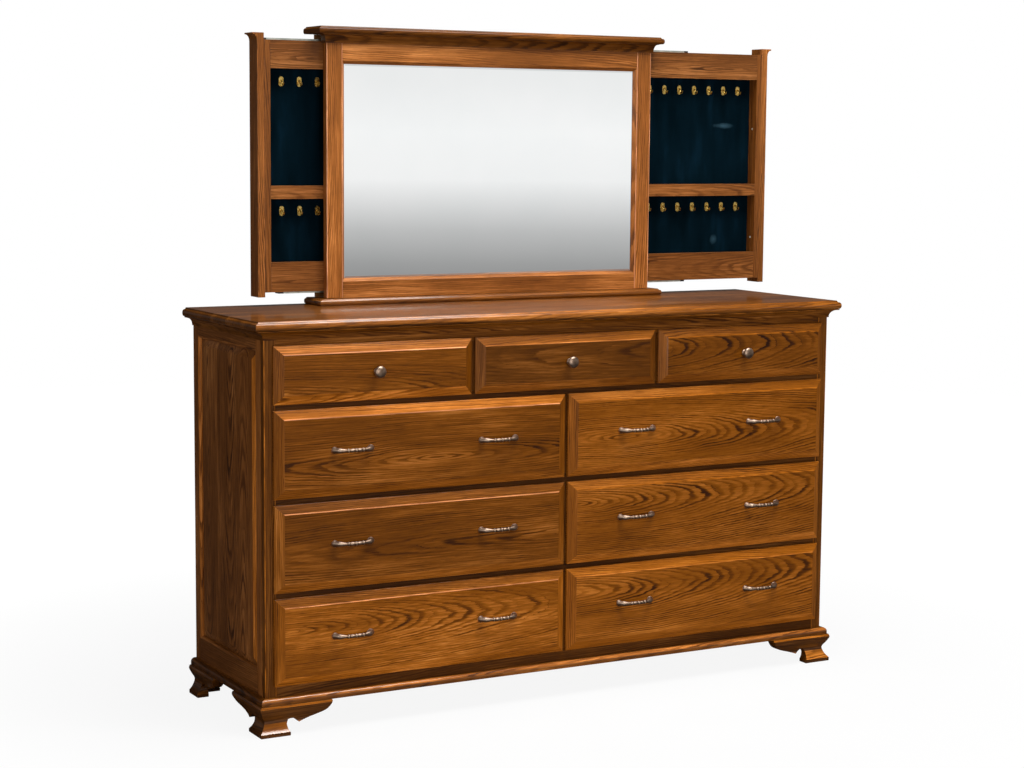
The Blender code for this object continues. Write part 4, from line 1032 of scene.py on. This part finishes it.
def makeTracks(look, plinthTop, underside):
    # a batten on the plinth and one under the cap carry the outer members of the slides
    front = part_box("mirror_frame")[1].y + look["frontGap"]
    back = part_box("mirror_back_panel")[0].y - seatGap
    centre = (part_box("mirror_glass")[1].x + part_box("mirror_glass")[0].x) / 2
    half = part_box("mirror_frame")[1].x - centre - look["inset"]
    for level, face, up in (("lower", plinthTop, 1), ("upper", underside, -1)):
        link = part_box(f"right_{level}_slide_link")
        base = (link[0].z if up > 0 else link[1].z) - up * (look["wall"] + look["play"])
        battens = startWork()
        addBoard(battens, (centre - half, front, face), (centre + half, back, base), along=0,
                 tone=look["battenTone"])
        finishPiece(f"{level}Batten", battens, "cabinet", stainedOak)
        y0 = (link[0].y + link[1].y) / 2 - look["width"] / 2
        y1 = (link[0].y + link[1].y) / 2 + look["width"] / 2
        tracks = startWork()
        for side in (-1, 1):
            x0 = centre + side * (half - look["endGap"])
            x1 = centre + side * (half - look["length"])
            addChannel(tracks, (x0, y0, base), (x1, y1, base + up * look["depth"]), up, look["wall"])
        finishPiece(f"{level}Tracks", tracks, "cabinet", zincSteel)


# first of each pair of tones: the left stile, the bottom rail and the upright slopes
mirrorFrame = {
    "stile": 0.0455, "bottomRail": 0.0437, "topRail": 0.068, "slope": 0.0075, "glassRecess": 0.010,
    "stileEase": 0.0022, "railEase": 0.0008, "rebateEase": 0.0002, "highlightTone": 3.0,
    "stileTones": (1.02, 0.98), "railTones": (0.76, 0.85), "slopeTones": (1.1, 0.9), "rebateTone": 0.2,
}


def makeMirrorFrame(look):
    work = startWork()
    low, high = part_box("mirror_frame")
    x0, x1 = low.x + look["stile"], high.x - look["stile"]
    z0, z1 = low.z + look["bottomRail"], high.z - look["topRail"]
    # the stiles' corners that face ahead are painted paler, as a painted highlight
    for start, end, tone in zip((low.x, x1), (x0, high.x), look["stileTones"]):
        addBoard(work, (start, low.y, low.z), (end, high.y, high.z), look["stileEase"], look["highlightTone"],
                 tone=tone)
    for start, end, tone in zip((low.z, z1), (z0, high.z), look["railTones"]):
        addBoard(work, (x0, low.y, start), (x1, high.y, end), look["railEase"], tone=tone)
    # the slope down to the glass
    slope, deep = look["slope"], look["glassRecess"]
    lap, dip, lip = 0.0005, 0.0009, 0.0012
    section = [(-lap, dip), (0.0, dip), (slope, deep - lip), (slope, deep), (-lap, deep)]
    uprightTone, levelTone = look["slopeTones"]
    for x, turn in ((x0, 1), (x1, -1)):
        points = [(x + turn * out, low.y + down, z0) for out, down in section]
        addStrip(work, points, (0, 0, z1 - z0), along=2, tone=uprightTone)
    for z, turn in ((z0, 1), (z1, -1)):
        points = [(x0, low.y + down, z + turn * out) for out, down in section]
        addStrip(work, points, (x1 - x0, 0, 0), along=0, tone=levelTone)
    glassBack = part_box("mirror_glass")[1].y
    addBoard(work, (x0, glassBack + seatGap, z0), (x1, high.y, z1), look["rebateEase"], along=0,
             tone=look["rebateTone"])
    finishPiece("mirrorSurround", work, "cabinet", paleOak, ["mirror_frame"])


plinthTop = makePlinth(plinth)
capUnderside = makeCap(cap)
makeTracks(slides, plinthTop, capUnderside)
makeMirrorFrame(mirrorFrame)
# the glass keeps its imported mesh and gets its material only
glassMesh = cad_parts["mirror_glass"].data
glassMesh.materials.clear()
glassMesh.materials.append(mirrorSilver)
makeBackBoard("mirrorBackBoard", "mirror_back_panel", dict(backBoard, screwsAcross=5, screwsUp=3))
print("mirror unit: done")

# the tones of the rails run from the top down
caseFrame = {
    "stile": 0.0165, "face": 0.0175, "topRail": 0.072, "middleRail": 0.034, "bottomRail": 0.077,
    "upperOpening": 0.299, "board": 0.012, "lip": 0.009, "depth": 0.036, "endRoom": 0.019,
    "stileTones": (0.52, 0.56), "railTones": (0.22, 0.40, 0.40), "railDrift": 0.01, "railPith": 0.03,
    "innerTone": 0.30, "innerInset": 0.0005,
}
caseScrews = {
    "upper": 0.2125, "lower": 0.1187, "setback": 0.017, "sunk": 0.0004, "radius": 0.0034, "rise": 0.0014,
}
caseMembers = {"width": 0.0224, "height": 0.0085, "wall": 0.0015, "outerInset": 0.010, "innerInset": 0.0015}


def caseLevels(look):
    bottom = plinthTop + look["endRoom"]
    top = capUnderside - look["endRoom"]
    shelfTop = top - look["topRail"] - look["upperOpening"]
    return bottom, top, shelfTop, shelfTop - look["middleRail"]


def makeCaseFrame(hand, side, look):
    node = f"{hand}_case_frame"
    low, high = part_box(node)
    bottom, top, shelfTop, shelfLow = caseLevels(look)
    front = low.y
    face = front + look["face"]
    inside = front + look["depth"]
    stile = look["stile"]
    work = startWork()
    for x, tone in zip((low.x, high.x - stile), look["stileTones"]):
        addBoard(work, (x, front, bottom), (x + stile, face, top), tone=tone)
    starts = (top - look["topRail"], shelfLow, bottom)
    ends = (top, shelfTop, bottom + look["bottomRail"])
    for start, end, tone in zip(starts, ends, look["railTones"]):
        addBoard(work, (low.x + stile, front, start), (high.x - stile, face, end), along=0, tone=tone,
                 drift=look["railDrift"], pith=look["railPith"])
    # the boards behind the face frame: bottom, top and shelf, then the two sides
    seatLow, seatHigh = bottom + look["lip"], top - look["lip"]
    half = look["board"] / 2
    x0, x1 = low.x + look["innerInset"], high.x - look["innerInset"]
    for middle in (seatLow + half, seatHigh - half, (shelfTop + shelfLow) / 2):
        addBoard(work, (x0 + stile, face, middle - half), (x1 - stile, inside, middle + half), along=0,
                 tone=look["innerTone"])
    for x in (x0, x1 - stile):
        addBoard(work, (x, face, seatLow), (x + stile, inside, seatHigh), along=2, tone=look["innerTone"])
    finishPiece(f"{hand}CaseFrame", work, f"{hand}_case", paleOak, [node])
    # the wall beside the post, where the screws that hold the post go through
    wall = x1 - stile if side > 0 else x0 + stile
    makeCaseScrews(hand, side, wall, inside, bottom, top, caseScrews)
    makeCaseMembers(hand, side, low.x, high.x, {"lower": seatLow, "upper": seatHigh}, caseMembers)


def makeCaseScrews(hand, side, wall, inside, bottom, top, look):
    screws = startWork()
    for level in (top - look["upper"], bottom + look["lower"]):
        spot = (wall + side * look["sunk"], inside - look["setback"], level)
        addScrew(screws, spot, (-side, 0, 0), look["radius"], look["rise"])
    finishPiece(f"{hand}CaseScrews", screws, f"{hand}_case", zincSteel)


def makeCaseMembers(hand, side, left, right, seats, look):
    # the inner members of the slides, screwed to the case's two ends
    members = startWork()
    outer = right - look["outerInset"] if side > 0 else left + look["outerInset"]
    inner = left + look["innerInset"] if side > 0 else right - look["innerInset"]
    for level, up in (("lower", 1), ("upper", -1)):
        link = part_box(f"{hand}_{level}_slide_link")
        y0 = (link[0].y + link[1].y) / 2 - look["width"] / 2
        y1 = (link[0].y + link[1].y) / 2 + look["width"] / 2
        seat = seats[level]
        addChannel(members, (outer, y0, seat), (inner, y1, seat - up * look["height"]), -up, look["wall"])
    finishPiece(f"{hand}CaseMembers", members, f"{hand}_case", zincSteel)


# path is the prong's way: out as a share of its reach, and up as a share of half the plate's height
hooks = {
    "count": 7, "spacing": 0.0505, "drop": 0.032, "width": 0.0125, "height": 0.025, "plate": 0.0022,
    "rounding": 0.46, "rim": 0.0014, "dishSlope": 0.0006, "dishDepth": 0.0008, "wire": 0.0015,
    "reach": 0.0165, "sides": 10, "sunk": 0.0002,
    "path": [
        (-0.03, 0.20), (0.12, 0.16), (0.26, -0.10), (0.36, -0.44), (0.52, -0.72), (0.72, -0.80),
        (0.88, -0.66), (0.97, -0.40), (1.0, -0.16)],
}


def addHook(work, spot, look):
    # a dished plate with rounded ends, and a prong that drops from it and curls up
    bm = work["bm"]
    size = Vector((look["width"], look["plate"], look["height"]))
    edges = addCube(bm, spot - Vector((0, look["plate"] / 2 - look["sunk"], 0)), size)
    corners = [edge for edge in edges if abs((edge.verts[0].co - edge.verts[1].co).normalized().y) > 0.9]
    shaped = easeEdges(bm, corners, look["width"] * look["rounding"], steps=5)
    faces = {face for vert in shaped["verts"] for face in vert.link_faces}
    plate = min(faces, key=lambda face: face.calc_center_median().y)
    bmesh.ops.inset_individual(bm, faces=[plate], thickness=look["rim"], depth=0.0)
    bmesh.ops.inset_individual(bm, faces=[plate], thickness=look["dishSlope"], depth=-look["dishDepth"])
    front = spot.y - look["plate"]
    points = []
    for out, up in look["path"]:
        points.append(Vector((spot.x, front - out * look["reach"], spot.z + up * look["height"] / 2)))
    side = Vector((1, 0, 0))
    last = len(points) - 1
    stations = []
    for i, point in enumerate(points):
        direction = (points[min(i + 1, last)] - points[max(i - 1, 0)]).normalized()
        thick = 1.5 if i == 0 else 1.25 if i == last else 1.0
        stations.append((point, look["wire"] * thick, direction, side))
    addRings(work, stations, look["sides"])


# velvetShare is the part of the board's thickness that the velvet takes
caseBack = {"velvetShare": 0.5, "velvetEase": 0.0006, "plyEase": 0.0004, "drift": 0.05, "pith": 0.10}


def makeCaseBack(hand, look):
    node = f"{hand}_case_back"
    body = f"{hand}_case"
    low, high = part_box(node)
    top, shelfLow = caseLevels(caseFrame)[1], caseLevels(caseFrame)[3]
    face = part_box(f"{hand}_case_frame")[0].y + caseFrame["depth"] + seatGap
    # velvet is glued on the front of a plywood board
    seam = face + (high.y - face) * look["velvetShare"]
    velvet = startWork()
    addBoard(velvet, (low.x, face, low.z), (high.x, seam, high.z), look["velvetEase"])
    finishPiece(f"{hand}Velvet", velvet, body, navyVelvet, [node])
    plywood = startWork()
    addBoard(plywood, (low.x, seam, low.z), high, look["plyEase"], along=2, through=1, drift=look["drift"],
             pith=look["pith"])
    finishPiece(f"{hand}CasePlywood", plywood, body, backPly)
    work = startWork()
    middle = (low.x + high.x) / 2
    for level in (top - caseFrame["topRail"] - hooks["drop"], shelfLow - hooks["drop"]):
        for i in range(hooks["count"]):
            x = middle + (i - (hooks["count"] - 1) / 2) * hooks["spacing"]
            addHook(work, Vector((x, face, level)), hooks)
    finishPiece(f"{hand}Hooks", work, body, brightBrass, angle=50)


casePost = {"ease": 0.0010, "easedAngle": 35, "drift": 0.05, "pith": 0.06, "tone": 0.68}


def makePost(hand, look):
    node = f"{hand}_case_post"
    work = copyNode(node)
    low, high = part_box(node)
    easeEdges(work["bm"], sharpEdges(work["bm"], look["easedAngle"]), look["ease"])
    grain = {"along": 2, "through": 0, "drift": look["drift"], "pith": look["pith"], "tone": look["tone"]}
    claimFaces(work, addPlank(work, low, high, grain))
    finishPiece(f"{hand}Post", work, f"{hand}_case", paleOak, [node])


def makeLinks(hand, side, look):
    # the middle member of each slide, with a nylon stop on its outer end
    body = f"{hand}_case_links"
    for level, up in (("lower", 1), ("upper", -1)):
        node = f"{hand}_{level}_slide_link"
        low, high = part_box(node)
        far, tip = (low.x, high.x) if side > 0 else (high.x, low.x)
        inside = tip - side * look["stopLength"]
        steel, nylon = startWork(), startWork()
        addChannel(steel, (far, low.y, low.z), (inside, high.y, high.z), up, look["wall"])
        addChannel(nylon, (inside, low.y, low.z), (tip, high.y, high.z), up, look["wall"])
        finishPiece(f"{hand}{level.title()}Link", steel, body, zincSteel, [node])
        finishPiece(f"{hand}{level.title()}LinkStop", nylon, body, blackNylon)


for hand, side in (("left", -1), ("right", 1)):
    makeCaseFrame(hand, side, caseFrame)
    makeCaseBack(hand, caseBack)
    makePost(hand, casePost)
    makeLinks(hand, side, slides)
print("jewellery cases: done")

camera = {"place": (-2.7875, -4.8733, 1.446), "lens": 74.53, "yaw": 29.14, "pitch": -6.61, "roll": 0.46}


def makeCamera(look):
    data = bpy.data.cameras.new("photographsView")
    data.lens = look["lens"]
    data.sensor_width = 36
    data.sensor_fit = "HORIZONTAL"
    data.clip_end = 100
    viewer = bpy.data.objects.new("photographsView", data)
    bpy.context.scene.collection.objects.link(viewer)
    yaw, pitch, roll = (math.radians(look[name]) for name in ("yaw", "pitch", "roll"))
    ahead = Vector((math.sin(yaw) * math.cos(pitch), math.cos(yaw) * math.cos(pitch), math.sin(pitch)))
    right = Vector((math.cos(yaw), -math.sin(yaw), 0))
    up = right.cross(ahead)
    tiltedRight = right * math.cos(roll) + up * math.sin(roll)
    tiltedUp = up * math.cos(roll) - right * math.sin(roll)
    turn = Matrix((tiltedRight, tiltedUp, -ahead)).transposed().to_4x4()
    viewer.matrix_world = Matrix.Translation(look["place"]) @ turn
    bpy.context.scene.camera = viewer


lamps = {
    "key": {
        "place": (1.4, -2.0, 4.6), "aim": (0.0, -0.2, 0.8), "size": 1.2, "power": 60, "colour": "#FFFDF8"},
    "above": {
        "place": (0.3, -0.75, 4.2), "aim": (0.0, -0.1, 0.8), "size": 2.4, "power": 200, "colour": "#FFFFFF"},
    "front": {
        "place": (-1.2, -6.0, 1.2), "aim": (0.0, -0.2, 0.7), "size": 2.0, "power": 100, "colour": "#FFFDFA"},
    "left": {
        "place": (-4.0, -3.2, 1.8), "aim": (-0.5, 0.0, 0.7), "size": 1.8, "power": 36, "colour": "#FFFDFA"},
}


def makeLamp(name, look):
    data = bpy.data.lights.new(name, "AREA")
    data.shape = "DISK"
    data.size = look["size"]
    data.energy = look["power"]
    data.color = hexColour(look["colour"])[:3]
    lamp = bpy.data.objects.new(name, data)
    bpy.context.scene.collection.objects.link(lamp)
    lamp.location = look["place"]
    lamp.rotation_euler = (Vector(look["aim"]) - Vector(look["place"])).to_track_quat("-Z", "Y").to_euler()


# each range is where the light starts and is full, as a share of looking straight that way, and how
# strong it is at both ends
studio = {
    "wall": [
        (0.0, "#1C1C1C"), (0.18, "#2A2A2A"), (0.28, "#4C4C4C"), (0.33, "#727272"), (0.36, "#8E8E8E"),
        (0.382, "#9E9E9E"), (0.413, "#BDBDBD"), (0.439, "#DCDCDC"), (0.461, "#F2F2F2"), (0.505, "#F7F7F7"),
        (0.549, "#EFEFEF"), (0.59, "#EAEAEA"), (0.80, "#DCDCDC"), (0.94, "#C0C0C0"), (1.0, "#505050")],
    "wallWay": (0.487, -0.873, 0.0), "wallRange": (0.28, 0.90, 0.12, 1.05),
    "panelWay": (-0.75, -0.62, 0.22), "panelRange": (0.62, 0.92, 0.0, 0.85),
    "roomRange": (-0.5, 0.9, 0.07, 0.17),
}


# The mirror, the metal and the lacquer see a pale wall ahead on the right, which darkens towards
# the floor and the ceiling, and a lit panel on the left. The camera sees plain white all round.
def makeWorld(look):
    world = bpy.data.worlds.new("studio")
    bpy.context.scene.world = world
    world.use_nodes = True
    tree = world.node_tree
    tree.nodes.clear()
    ray = addNode(tree, "LightPath", {}, {}).outputs
    way = addNode(tree, "TexCoord", {}, {}).outputs["Generated"]
    height = addNode(tree, "SeparateXYZ", {}, {0: way}).outputs["Z"]
    rise = addNode(tree, "MapRange", {}, {0: height, 1: -0.25, 2: 0.25, 3: 0.0, 4: 1.0})
    wall = setStops(addNode(tree, "ValToRGB", {}, {0: rise}), look["wall"])
    towards = {"operation": "DOT_PRODUCT"}
    facing = addNode(tree, "VectorMath", towards, {0: way, 1: look["wallWay"]}).outputs["Value"]
    beside = addNode(tree, "VectorMath", towards, {0: way, 1: look["panelWay"]}).outputs["Value"]
    strengths = []
    for direction, name in ((facing, "wallRange"), (beside, "panelRange"), (facing, "roomRange")):
        start, full, least, most = look[name]
        sockets = {0: direction, 1: start, 2: full, 3: least, 4: most}
        strengths.append(addNode(tree, "MapRange", smooth, sockets))
    bright, panel, lit = strengths
    wallLight = addNode(tree, "Background", {}, {0: wall, 1: bright})
    panelLight = addNode(tree, "Background", {}, {0: white, 1: panel})
    seen = addNode(tree, "AddShader", {}, {0: wallLight, 1: panelLight})
    room = addNode(tree, "Background", {}, {0: white, 1: lit})
    plain = addNode(tree, "Background", {}, {0: white, 1: 1.0})
    mixed = addNode(tree, "MixShader", {}, {0: ray["Is Glossy Ray"], 1: room, 2: seen})
    mixed = addNode(tree, "MixShader", {}, {0: ray["Is Camera Ray"], 1: mixed, 2: plain})
    addNode(tree, "OutputWorld", {}, {0: mixed})


# plain is how far from the middle the floor starts to fade and is all white, and the share of
# white at both ends
studioFloor = {"radius": 7.0, "plain": (0.9, 2.6, 0.87, 1.0), "glow": 1.04, "dusk": "#3A3A3A"}


# A white floor that fades into the background, and keeps the soft shadow under the dresser.
def makeFloor(look):
    bm = bmesh.new()
    bmesh.ops.create_circle(bm, cap_ends=True, segments=64, radius=look["radius"])
    mesh = bpy.data.meshes.new("floor")
    bm.to_mesh(mesh)
    bm.free()
    floor = bpy.data.objects.new("floor", mesh)
    bpy.context.scene.collection.objects.link(floor)
    material, tree, shader = newMaterial("whiteFloor", {"Roughness": 0.9, "Specular IOR Level": 0.1})
    place = addNode(tree, "TexCoord", {}, {}).outputs["Object"]
    speck = addNode(tree, "TexNoise", {}, {"Vector": place, "Scale": 3.0, "Detail": 3.0})
    colour = setStops(addNode(tree, "ValToRGB", {}, {0: speck}), [(0.3, "#B2B2B2"), (0.7, "#B6B6B6")])
    setSockets(tree, shader, {"Base Color": colour})
    far = addNode(tree, "VectorMath", {"operation": "LENGTH"}, {0: place}).outputs["Value"]
    start, full, least, most = look["plain"]
    plain = addNode(tree, "MapRange", smooth, {0: far, 1: start, 2: full, 3: least, 4: most})
    ray = addNode(tree, "LightPath", {}, {}).outputs
    share = addNode(tree, "Math", times, {0: ray["Is Camera Ray"], 1: plain})
    glow = addNode(tree, "Emission", {}, {0: white, 1: look["glow"]})
    # the lacquer and the metal see a darker floor than the camera does
    dusk = addNode(tree, "BsdfDiffuse", {}, {"Color": hexColour(look["dusk"])})
    mixed = addNode(tree, "MixShader", {}, {0: ray["Is Glossy Ray"], 1: shader, 2: dusk})
    mixed = addNode(tree, "MixShader", {}, {0: share, 1: mixed, 2: glow})
    setSockets(tree, tree.nodes["Material Output"], {"Surface": mixed})
    mesh.materials.append(material)


makeCamera(camera)
for name, look in lamps.items():
    makeLamp(name, look)
makeWorld(studio)
makeFloor(studioFloor)
bpy.context.scene.view_settings.view_transform = "Standard"
print("studio: done")
